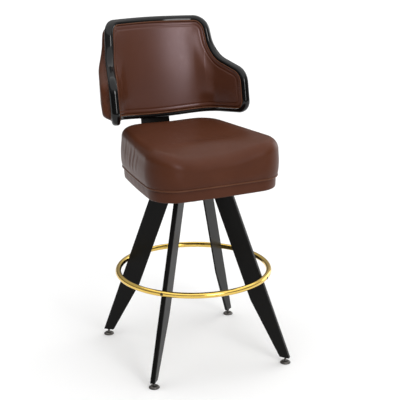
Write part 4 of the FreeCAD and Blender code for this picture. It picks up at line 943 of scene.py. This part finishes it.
cushion_grid, cushion_run, cushion_spot = cushion_points(CUSHION_CELLS)
cushion_rim = cushion_grid.reshape(-1, 3)[border(numbered(CUSHION_CELLS, CUSHION_CELLS))]
seat_middle = np.array([0.0, AXIS_Y, SEAM])
cushion_under = seat_middle + (cushion_rim - seat_middle) * (UNDER_SHARE, UNDER_SHARE, 0.0)
cushion_under[:, 2] = SEAM + CUSHION_FLOOR
cushion_hold = np.clip(1 - cushion_run / CUSHION_HOLD, 0, 1)
cushion_grid = settle(
    "cushion", cushion_grid, cushion_under, cushion_hold, CUSHION_PRESSURE, CUSHION_SLACK, CUSHION_CAP
)
cushion_folds = fold_field(cushion_spot, cushion_run, CUSHION_FOLDS)
cushion_grid = cushion_grid + surface_ways(cushion_grid) * cushion_folds[..., None]
cushion_shape = lid(cushion_grid, cushion_under)
cushion = piece(
    "seat_cushion", cushion_shape, seat_leather, "seat", "brown_leather", "seat_cover", "seat_foam"
)


# Back: two pads on a bent shell, the inner one thin and smooth, the outer one fuller. Both
# are stretched over foam and tucked under a piped seam along the bumper.
BACK_REAR = 0.2555
BACK_LOW = SEAM + 0.1676
BACK_LEAN = math.radians(10.0)
BACK_CENTRE_RADIUS = 0.4798
BACK_CENTRE_ANGLE = math.radians(16.4)
BACK_CORNER_RADIUS = 0.0980
BACK_CORNER_ANGLE = math.radians(53.4)
WING_RUN = 0.3439
DIP_RUN = 0.2057
TOP_RUN = 0.1856
WING_TOP = BACK_LOW + 0.1193
BACK_DIP = WING_TOP + 0.0471
BACK_TOP = BACK_DIP + 0.1227
TOP_DROP = 0.0014
BACK_BOW = 0.0261
BOTTOM_ROUND = 1.2
BACK_ROUNDS = (0.033, 0.039, 0.096, 0.042)
TOP_ROUND = 3.0
BACK_POINTS = 960
PAD_COLUMNS = 321
PAD_ROWS = 121
PAD_INSET = 0.0044
PAD_EDGE = 0.0094
PAD_HOLD = 0.005
PAD_PRESSURE = 2.5
PAD_SLACK = 0.006
PAD_CAP = 0.0030
WING_BARE = 0.3
WING_ENDS = (BACK_LOW + 0.010, WING_TOP - 0.012)
ROW_SPREAD = 0.35
COLUMN_POWER = 6
SHELL_FACE = 0.0062
INNER_ROLL = 0.0050
INNER_ROLL_WIDTH = 0.0075
INNER_CREASE = 0.0013
INNER_CREASE_AT = 0.0140
INNER_CREASE_WIDTH = 0.0026
INNER_CROWN = 0.0115
INNER_CROWN_WIDTH = 0.0900
INNER_CROWN_SMOOTH = 260
CORNER_FILL = 0.0085
CORNER_AT = 0.1800
CORNER_WIDTH = 0.0420
CORNER_RISE = 0.045
CORNER_SMOOTH = 60
OUTER_HEIGHTS = (-0.030, 0.003, 0.041, 0.097, 0.153, 0.189, 0.245, 0.300)
OUTER_FULL = (0.0370, 0.0400, 0.0430, 0.0415, 0.0395, 0.0385, 0.0365, 0.0330)
OUTER_ROLL_WIDTH = 0.0190
OUTER_SMOOTH = 12
OUTER_AT_BAR = 0.0392
OUTER_PAST_BAR = 0.02
BAR_CLEAR = (0.060, 0.110)
PUCKER_PLACES = (0.228, 0.772)
PUCKER_SPREAD = 0.016
PUCKER_PITCH = 0.0085
PUCKER_DEPTH = 0.010
PUCKER_DRIFT = (1.7, 90)


def wrap(run, height, off):
    """Bend the flat back to its plan: a flat arc, a tight arc, then straight on; then lean it.
    off moves a point outwards, square to the plan."""
    side = np.where(run < 0, -1.0, 1.0)
    run = np.abs(run)
    flat_bend = np.minimum(run / BACK_CENTRE_RADIUS, BACK_CENTRE_ANGLE)
    rest = np.maximum(run - BACK_CENTRE_RADIUS * BACK_CENTRE_ANGLE, 0)
    tight_bend = np.minimum(rest / BACK_CORNER_RADIUS, BACK_CORNER_ANGLE)
    rest = np.maximum(rest - BACK_CORNER_RADIUS * BACK_CORNER_ANGLE, 0)
    bearing = flat_bend + tight_bend
    x = BACK_CENTRE_RADIUS * np.sin(flat_bend) + rest * np.cos(bearing) + off * np.sin(bearing)
    x += BACK_CORNER_RADIUS * (np.sin(bearing) - np.sin(flat_bend))
    y = -BACK_CENTRE_RADIUS * (1 - np.cos(flat_bend)) - rest * np.sin(bearing) + off * np.cos(bearing)
    y -= BACK_CORNER_RADIUS * (np.cos(flat_bend) - np.cos(bearing))
    y += BACK_REAR + math.tan(BACK_LEAN) * (height - BACK_LOW) + AXIS_Y
    return np.stack([side * x, y, height], axis=-1)


def rounded_outline(corners, radii, count):
    """Even points and outward ways along a closed outline of straight runs and tangent arcs."""
    corners = np.array(corners, float)
    line = []
    for i, corner in enumerate(corners):
        before, after = corners[i - 1] - corner, corners[(i + 1) % len(corners)] - corner
        before /= np.linalg.norm(before)
        after /= np.linalg.norm(after)
        half = math.acos(np.clip(before @ after, -1, 1)) / 2
        middle = (before + after) / np.linalg.norm(before + after)
        reach = radii[i] / math.tan(half)
        centre = corner + middle * radii[i] / math.sin(half)
        line.append(arc_line(centre, corner + before * reach, corner + after * reach))
    return even_outline(np.vstack(line), count)


def back_outline():
    """Even points and outward ways round the flat back, from the bottom centre to the right."""
    right = [(WING_RUN, BACK_LOW), (WING_RUN, WING_TOP), (DIP_RUN, BACK_DIP), (TOP_RUN, BACK_TOP - TOP_DROP)]
    left = [(-run, height) for run, height in reversed(right)]
    corners = [(0.0, BACK_LOW - BACK_BOW), *right, (0.0, BACK_TOP), *left]
    rounds = [BOTTOM_ROUND, *BACK_ROUNDS, TOP_ROUND, *reversed(BACK_ROUNDS)]
    line, way = rounded_outline(corners, rounds, BACK_POINTS)
    start = int(np.argmin(np.where(line[:, 1] < BACK_LOW, np.abs(line[:, 0]), 1)))
    return np.roll(line, -start, axis=0), np.roll(way, -start, axis=0)


back_line, back_way = back_outline()
pad_line = back_line - back_way * PAD_INSET


def pad_flat():
    """A grid over the pads' flat outline: columns join points of the bottom and top edges that lie at
    the same run, and both ends follow the wings' edges."""
    right = pad_line[: BACK_POINTS // 2 + 1]
    low, high = (
        int(np.argmin(np.abs(right[:, 1] - height) + 10 * (right[:, 0] < WING_BARE))) for height in WING_ENDS
    )
    end = resample(right[low : high + 1], PAD_ROWS)
    top = resample(right[high:], PAD_COLUMNS // 2 + 1)[::-1]
    bottom = right[: low + 1]
    share = np.interp(top[:, 0], bottom[:, 0], np.arange(low + 1))
    bottom = interpolated(bottom, np.arange(low + 1), share / share[-1] * low)
    even = np.linspace(0, 1, PAD_ROWS)
    rise = (1 - np.cos(math.pi * even)) / 2 * ROW_SPREAD + even * (1 - ROW_SPREAD)
    end = interpolated(resample(end, PAD_ROWS), even, rise)[:, None]
    rise = rise[:, None, None]
    grid = bottom * (1 - rise) + top * rise
    across = (np.linspace(0, 1, PAD_COLUMNS // 2 + 1) ** COLUMN_POWER)[:, None]
    grid = grid + across * (end - grid[:, -1:])
    return np.concatenate([grid[:, :0:-1] * (-1.0, 1.0), grid], axis=1)


def edge_distance(flat):
    """Distance of each point of a flat grid from the pads' outline, and its nearest place on it."""
    edge = pad_line[::2]
    apart = [np.linalg.norm(row[:, None] - edge, axis=2) for row in flat]
    near = np.array([row.argmin(axis=1) for row in apart])
    return np.array([row.min(axis=1) for row in apart]), near / len(edge)


pad_grid = pad_flat()
pad_gap, pad_near = edge_distance(pad_grid)


def quarter_round(gap, width):
    """0 at the edge, rising as a quarter circle to 1 at the width."""
    return np.sqrt(1 - (1 - np.clip(gap / width, 0, 1)) ** 2)


def inner_swell():
    """How far the inner pad stands off its edge: a rolled border strip, the crease where the panel
    is drawn in beside it, then a slow rise to the crown, thicker where the foam fills the bends."""
    crown = smooth_grid(INNER_CROWN * (1 - np.exp(-pad_gap / INNER_CROWN_WIDTH)), INNER_CROWN_SMOOTH)
    crease = INNER_CREASE * bell(pad_gap - INNER_CREASE_AT, INNER_CREASE_WIDTH)
    fill = CORNER_FILL * bell(np.abs(pad_grid[..., 0]) - CORNER_AT, CORNER_WIDTH)
    fill = fill * ease(pad_gap, INNER_CREASE_AT, INNER_CREASE_AT + CORNER_RISE)
    roll = INNER_ROLL * quarter_round(pad_gap, INNER_ROLL_WIDTH)
    return roll + crown - crease + smooth_grid(fill, CORNER_SMOOTH)


def outer_swell():
    """How far the outer pad stands off its edge: full low down and at the wings, thinner towards the
    top, and no further off than the bar where the bar passes behind it."""
    full = np.interp(pad_grid[..., 1] - BACK_LOW, OUTER_HEIGHTS, OUTER_FULL)
    full = np.minimum(full, OUTER_AT_BAR + OUTER_PAST_BAR * ease(np.abs(pad_grid[..., 0]), *BAR_CLEAR))
    return (smooth_grid(full, OUTER_SMOOTH) - PAD_EDGE) * quarter_round(pad_gap, OUTER_ROLL_WIDTH)


def puckers(near, gap, tall):
    """Small gathers square to the edge where the covering is pulled round a wing's end: a sine along
    the edge, its pitch drifting, that fades along the edge and away from it."""
    edge_length = lengths(back_line)[-1]
    lift = np.zeros_like(gap)
    for place in PUCKER_PLACES:
        off = (near - place + 0.5) % 1 - 0.5
        drift = PUCKER_DRIFT[0] * np.sin(off * PUCKER_DRIFT[1])
        wave = np.sin(2 * math.pi * off * edge_length / PUCKER_PITCH + drift)
        lift += tall * bell(off, PUCKER_SPREAD) * wave * np.exp(-gap / PUCKER_DEPTH)
    return lift


def back_pad(name, side, swell, tall):
    """One pad, closed against the bent shell by a rear face that repeats its grid at the shell's skin;
    side is -1 inside and 1 outside."""
    flat, gap, near, swell = (field[:, ::-side] for field in (pad_grid, pad_gap, pad_near, swell))
    points = wrap(flat[..., 0], flat[..., 1], side * (PAD_EDGE + swell))
    rear = wrap(flat[..., 0], flat[..., 1], side * SHELL_FACE).reshape(-1, 3)
    index = numbered(PAD_ROWS, PAD_COLUMNS)
    rim = border(index)
    hold = np.clip(1 - gap / PAD_HOLD, 0, 1)
    points = settle(name, points, rear[rim], hold, PAD_PRESSURE, PAD_SLACK, PAD_CAP)
    points = points + surface_ways(points) * puckers(near, gap, tall)[..., None]
    ahead = np.roll(rim, -1)
    wall = np.stack([ahead, rim, rim + index.size, ahead + index.size], axis=-1).tolist()
    return np.vstack([points.reshape(-1, 3), rear]), quads(index) + quads((index + index.size).T) + wall


for label, side, swell, tall, finish in (
    ("inner", -1, inner_swell(), 0.0009, back_leather),
    ("outer", 1, outer_swell(), 0.0008, seat_leather),
):
    shape = back_pad(label, side, swell, tall)
    thing = piece(f"{label}_back_pad", shape, finish, "seat", "brown_leather", f"back_{label}_pad")


# Bumper and piping: a glossy black extrusion bent round the whole edge of the back, and a
# line of brown piping on each side of it, tight against the pads.
BUMPER_HALF = 0.0146
BUMPER_DEPTH = 0.0141
BUMPER_LIP = 0.0012
BUMPER_POWER = 0.78
BUMPER_FOOT = 0.0006
BUMPER_FLAT = 0.0003
PIPE_RADIUS = 0.0020
PIPE_OFF = 0.0149
PIPE_INSET = 0.0025
PIPE_GATHERS = (0.04, 190, 17)

BUMPER_TONES = (0.0026, 0.0024, 0.0024), (0.0044, 0.0042, 0.0042)
bumper_black = hard_finish(
    "bumper_black", *BUMPER_TONES, 0.05, 0.09, 300.0, 0.00004, Specular_IOR_Level=0.30
)


def bumper_shape():
    """A squared D carried round the outline, with a lip at each side and its flat on the shell's edge."""
    cos, sin = ways(np.linspace(-math.pi / 2, math.pi / 2, 29)).T
    off = BUMPER_HALF * np.sign(sin) * np.abs(sin) ** BUMPER_POWER
    lip = BUMPER_HALF - BUMPER_LIP
    lips = [(BUMPER_FOOT, lip), (BUMPER_FLAT, 0.0), (BUMPER_FOOT, -lip)]
    profile = np.vstack([np.column_stack([BUMPER_DEPTH * cos**BUMPER_POWER, off]), lips])
    at = back_line[:, None] + back_way[:, None] * profile[:, :1]
    return skin(wrap(at[..., 0], at[..., 1], np.tile(profile[:, 1], (BACK_POINTS, 1))), closed=True)


piece("black_bumper", bumper_shape(), bumper_black, "seat", "black_bumper", "back_trim")
# The back's piping wears the lighter leather: painted sheen beside the bumper.
for side, label in ((-1, "inner"), (1, "outer")):
    at, off = piping(back_line, back_way, PIPE_RADIUS, -PIPE_INSET, side * PIPE_OFF, PIPE_GATHERS)
    tube = skin(wrap(at[..., 0], at[..., 1], off), closed=True)
    piece(f"back_{label}_piping", tube, piping_leather, "seat", "brown_leather", f"back_{label}_welt")


# Bracket: a flat steel bar with rounded edges that comes out behind the seat, bends up and
# stands behind the outer pad, painted satin black, with four hexagon bolts through it.
BAR_HALF = 0.0540
BAR_THICK = 0.0060
BAR_START = 0.0920
BAR_BEND = 0.0120
BAR_EDGE = 0.0014
BAR_EDGE_SHARE = 0.9
BAR_CORNER = 0.0090
BAR_TOP_GAP = 0.0005
BAR_END_THIN = 0.0004
BOLT_HEAD = 0.00555
BOLT_HIGH = 0.00375
BOLT_CUT = 1.02
BOLT_CROWN = ((0.6, 0.0), (0.93, 0.0), (1.0, 0.0003))
BOLT_FACE = 0.93
BOLT_WASHER = 0.0003
BOLT_SIDES = ((1.0, BOLT_HIGH - 0.0008), (1.0, 0.0005), (0.97, BOLT_WASHER))
BOLT_SHANK = 0.0030
BOLT_LENGTH = 0.030
BOLT_POINTS = 60
BOLT_SIDE = 0.0320
BOLT_HEIGHTS = (BACK_LOW + 0.0527, BACK_LOW + 0.1207)
bracket_low, bracket_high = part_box("back_bracket")

BRACKET_TONES = (0.0045, 0.0032, 0.0026), (0.0080, 0.0060, 0.0048)
bracket_paint = hard_finish(
    "bracket_paint", *BRACKET_TONES, 0.28, 0.38, 700.0, 0.00005, Specular_IOR_Level=0.08
)


def bar_path():
    """The bar's middle line in its side view: along under the board, round the bend, up the lean."""
    low = bracket_low.z + BAR_THICK / 2
    top = bracket_high.z - BAR_TOP_GAP
    rear = bracket_high.y - AXIS_Y - BAR_THICK / 2
    radius = BAR_BEND + BAR_THICK / 2
    bend = math.pi / 2 - BACK_LEAN
    start = rear - (top - low) * math.tan(BACK_LEAN) - radius * math.tan(bend / 2)
    turn = np.linspace(0, bend, 16)
    curve = np.array([start, low + radius]) + radius * np.stack([np.sin(turn), -np.cos(turn)], axis=1)
    flat = np.column_stack([np.linspace(BAR_START, start, 12)[:-1], np.full(11, low)])
    way = np.array([math.sin(BACK_LEAN), math.cos(BACK_LEAN)])
    rise = np.linspace(0, (top - curve[-1, 1]) / way[1], 60)[1:]
    return np.vstack([flat, curve, curve[-1] + way * rise[:, None]])


bar_line = bar_path()


def bar_shape():
    """The bar's rounded section carried along its line; the two top corners are cut round."""
    along = np.gradient(bar_line, axis=0)
    along /= np.linalg.norm(along, axis=1)[:, None]
    normal = np.stack([-along[:, 1], along[:, 0]], axis=1)
    length = lengths(bar_line)
    to_end = (length[-1] - length)[:, None]
    cut = np.sqrt(np.maximum(BAR_CORNER**2 - np.maximum(BAR_CORNER - to_end, 0) ** 2, 0))
    half = BAR_HALF - BAR_CORNER + cut
    thick = BAR_THICK / 2 * np.sqrt(np.clip((to_end + BAR_END_THIN) / BAR_EDGE, 0, 1))
    edge = np.minimum(BAR_EDGE, thick * BAR_EDGE_SHARE)
    signs = np.repeat([(1, 1), (-1, 1), (-1, -1), (1, -1)], 5, axis=0)
    curve = np.vstack([arc((0, 0), 1.0, start, start + 90, 5) for start in (0, 90, 180, 270)])
    across = signs[:, 0] * (half - edge) + curve[:, 0] * edge
    through = signs[:, 1] * (thick - edge) + curve[:, 1] * edge
    side = bar_line[:, None] + normal[:, None] * through[..., None] + (AXIS_Y, 0)
    return skin(np.concatenate([across[..., None], side], axis=2))


def hexagon_bolt():
    """A chamfered hexagon head on a washer face, with a short shank, pointing up Z."""
    flats = BOLT_HEAD * math.cos(math.pi / 6)
    head = hexagon(flats, BOLT_POINTS)
    crown = np.minimum(head, flats * BOLT_CUT)
    rows = [(crown * share, BOLT_HIGH - drop) for share, drop in BOLT_CROWN]
    rows += [(head * share, height) for share, height in BOLT_SIDES]
    rows += [(flats * BOLT_FACE, BOLT_WASHER), (flats * BOLT_FACE, 0.0)]
    rows += [(BOLT_SHANK, 0.0), (BOLT_SHANK, -BOLT_LENGTH)]
    return skin(turned(rows, BOLT_POINTS))


def back_bolt(x, height):
    """A bolt's head on the bracket's rear face, square to the lean."""
    cos, sin = math.cos(BACK_LEAN), math.sin(BACK_LEAN)
    face = np.interp(height, bar_line[:, 1], bar_line[:, 0]) + BAR_THICK / 2 / cos + AXIS_Y
    return laid(hexagon_bolt(), (x, face, height), ((1, 0, 0), (0, sin, cos), (0, cos, -sin)))


piece("back_bar", bar_shape(), bracket_paint, "seat", "bracket_black", "back_bracket")
bolts = merge([back_bolt(x, height) for x in (-BOLT_SIDE, BOLT_SIDE) for height in BOLT_HEIGHTS])
piece("back_hexagon_bolts", bolts, zinc, "seat", "zinc_steel", "back_bolts")


# Floor: a plain pale sheet that runs out of sight, lit softly from above, so that the stool
# keeps its shadow.
FLOOR_WHITE = 0.95
FLOOR_BOUNCE = 0.42
FLOOR_REACH = 40.0


def floor_finish():
    """White to the eye and in reflections; what it throws back at the stool is less, as from a sheet
    that is small beside the dark room round it."""
    finish = new_finish("pale_floor", (FLOOR_WHITE,) * 3, 0.9, Specular_IOR_Level=0.0)
    tree = finish.node_tree
    path = tree.nodes.new("ShaderNodeLightPath")
    seen = add(tree, "ShaderNodeMath", {"operation": "ADD"})
    shown = add(tree, "ShaderNodeMath", {"operation": "ADD", "use_clamp": True})
    wire(tree, (path, "Is Camera Ray", seen, 0), (path, "Is Glossy Ray", seen, 1))
    wire(tree, (seen, "Value", shown, 0), (path, "Is Transmission Ray", shown, 1))
    wire_range(finish, shown, "Value", "Base Color", FLOOR_BOUNCE, FLOOR_WHITE)
    return finish


floor_points = np.array([(-1, -1, 0), (1, -1, 0), (1, 1, 0), (-1, 1, 0)]) * FLOOR_REACH
floor = build("pale_floor", (floor_points, [(0, 1, 2, 3)]), floor_finish(), SHARP_FOLD)


# Light: a studio whose ceiling is bright and whose walls are dim. A very broad lamp stands
# overhead, a broad one before the stool, and one low on the right.
CEILING_LEVEL = 0.50
WALL_LEVEL = 0.08
CEILING_START = 0.62
SCREEN_LEVEL = 0.35
SCREEN_WAY = (0.93, 0.25, 0.27)
SCREEN_EDGE = (0.70, 0.97)


def studio():
    """World light by the height of its direction, plus a soft patch about the screen's direction."""
    world = bpy.data.worlds.new("studio")
    bpy.context.scene.world = world
    world.use_nodes = True
    tree = world.node_tree
    soft = {"interpolation_type": "SMOOTHSTEP"}
    place = tree.nodes.new("ShaderNodeTexCoord")
    split = tree.nodes.new("ShaderNodeSeparateXYZ")
    rise = add(
        tree, "ShaderNodeMapRange", soft, From_Max=CEILING_START, To_Min=WALL_LEVEL, To_Max=CEILING_LEVEL
    )
    facing = add(tree, "ShaderNodeVectorMath", {"operation": "DOT_PRODUCT"})
    facing.inputs[1].default_value = SCREEN_WAY
    low, high = SCREEN_EDGE
    screen = add(tree, "ShaderNodeMapRange", soft, From_Min=low, From_Max=high, To_Max=SCREEN_LEVEL)
    total = add(tree, "ShaderNodeMath", {"operation": "ADD"})
    wire(tree, (place, "Generated", split, "Vector"), (split, "Z", rise, "Value"))
    wire(tree, (place, "Generated", facing, 0), (facing, "Value", screen, "Value"))
    wire(tree, (rise, "Result", total, 0), (screen, "Result", total, 1))
    wire(tree, (total, "Value", "Background", "Strength"))
    tree.nodes["Background"].inputs["Color"].default_value = (1.0, 1.0, 1.0, 1)


def broad_lamp(name, bearing, rise, spread, level):
    """A distant lamp, its bearing in degrees from -Y towards +X; level 1 lights a facing white to white."""
    light = bpy.data.lights.new(name, "SUN")
    light.energy = math.pi * level
    light.angle = math.radians(spread)
    placed(name, light).rotation_euler = (math.radians(90 - rise), 0, math.radians(bearing))


studio()
broad_lamp("overhead_lamp", 20.0, 80.0, 100.0, 0.56)
broad_lamp("front_lamp", 4.0, 19.0, 24.0, 0.38)
broad_lamp("right_lamp", 105.0, 6.0, 34.0, 0.20)


# Camera: fitted to the glides, the foot ring, the legs and the seat in the photograph, whose
# side and the camera's focus are in pixels.
CAMERA_AZIMUTH = math.radians(-26.74)
CAMERA_DISTANCE = 3.280
CAMERA_HEIGHT = 1.477
CAMERA_PAN = math.radians(-0.41)
CAMERA_PITCH = math.radians(16.04)
CAMERA_ROLL = math.radians(-0.35)
CAMERA_FOCUS = 1023.4
CAMERA_SIGHT = 200.0
PHOTO_SIDE = 400.0
SENSOR = 36.0


def photo_camera():
    """Right, up and back ways of the camera make its matrix."""
    lens = bpy.data.cameras.new("photo_camera")
    lens.sensor_width = SENSOR
    lens.lens = CAMERA_FOCUS / PHOTO_SIDE * SENSOR
    lens.clip_end = CAMERA_SIGHT
    heading = CAMERA_AZIMUTH + CAMERA_PAN
    pitch = math.cos(CAMERA_PITCH), math.sin(CAMERA_PITCH)
    look = np.array([-math.sin(heading) * pitch[0], math.cos(heading) * pitch[0], -pitch[1]])
    right = np.cross(look, [0, 0, 1.0])
    right /= np.linalg.norm(right)
    right = right * math.cos(CAMERA_ROLL) + np.cross(right, look) * math.sin(CAMERA_ROLL)
    reach = CAMERA_DISTANCE * np.array([math.sin(CAMERA_AZIMUTH), -math.cos(CAMERA_AZIMUTH)])
    place = (reach[0], reach[1] + AXIS_Y, CAMERA_HEIGHT)
    rows = np.column_stack([right, np.cross(right, look), -look, place])
    camera = placed("photo_camera", lens)
    camera.matrix_world = Matrix([*rows.tolist(), (0, 0, 0, 1)])
    bpy.context.scene.camera = camera


photo_camera()
bpy.context.scene.view_settings.view_transform = "Standard"
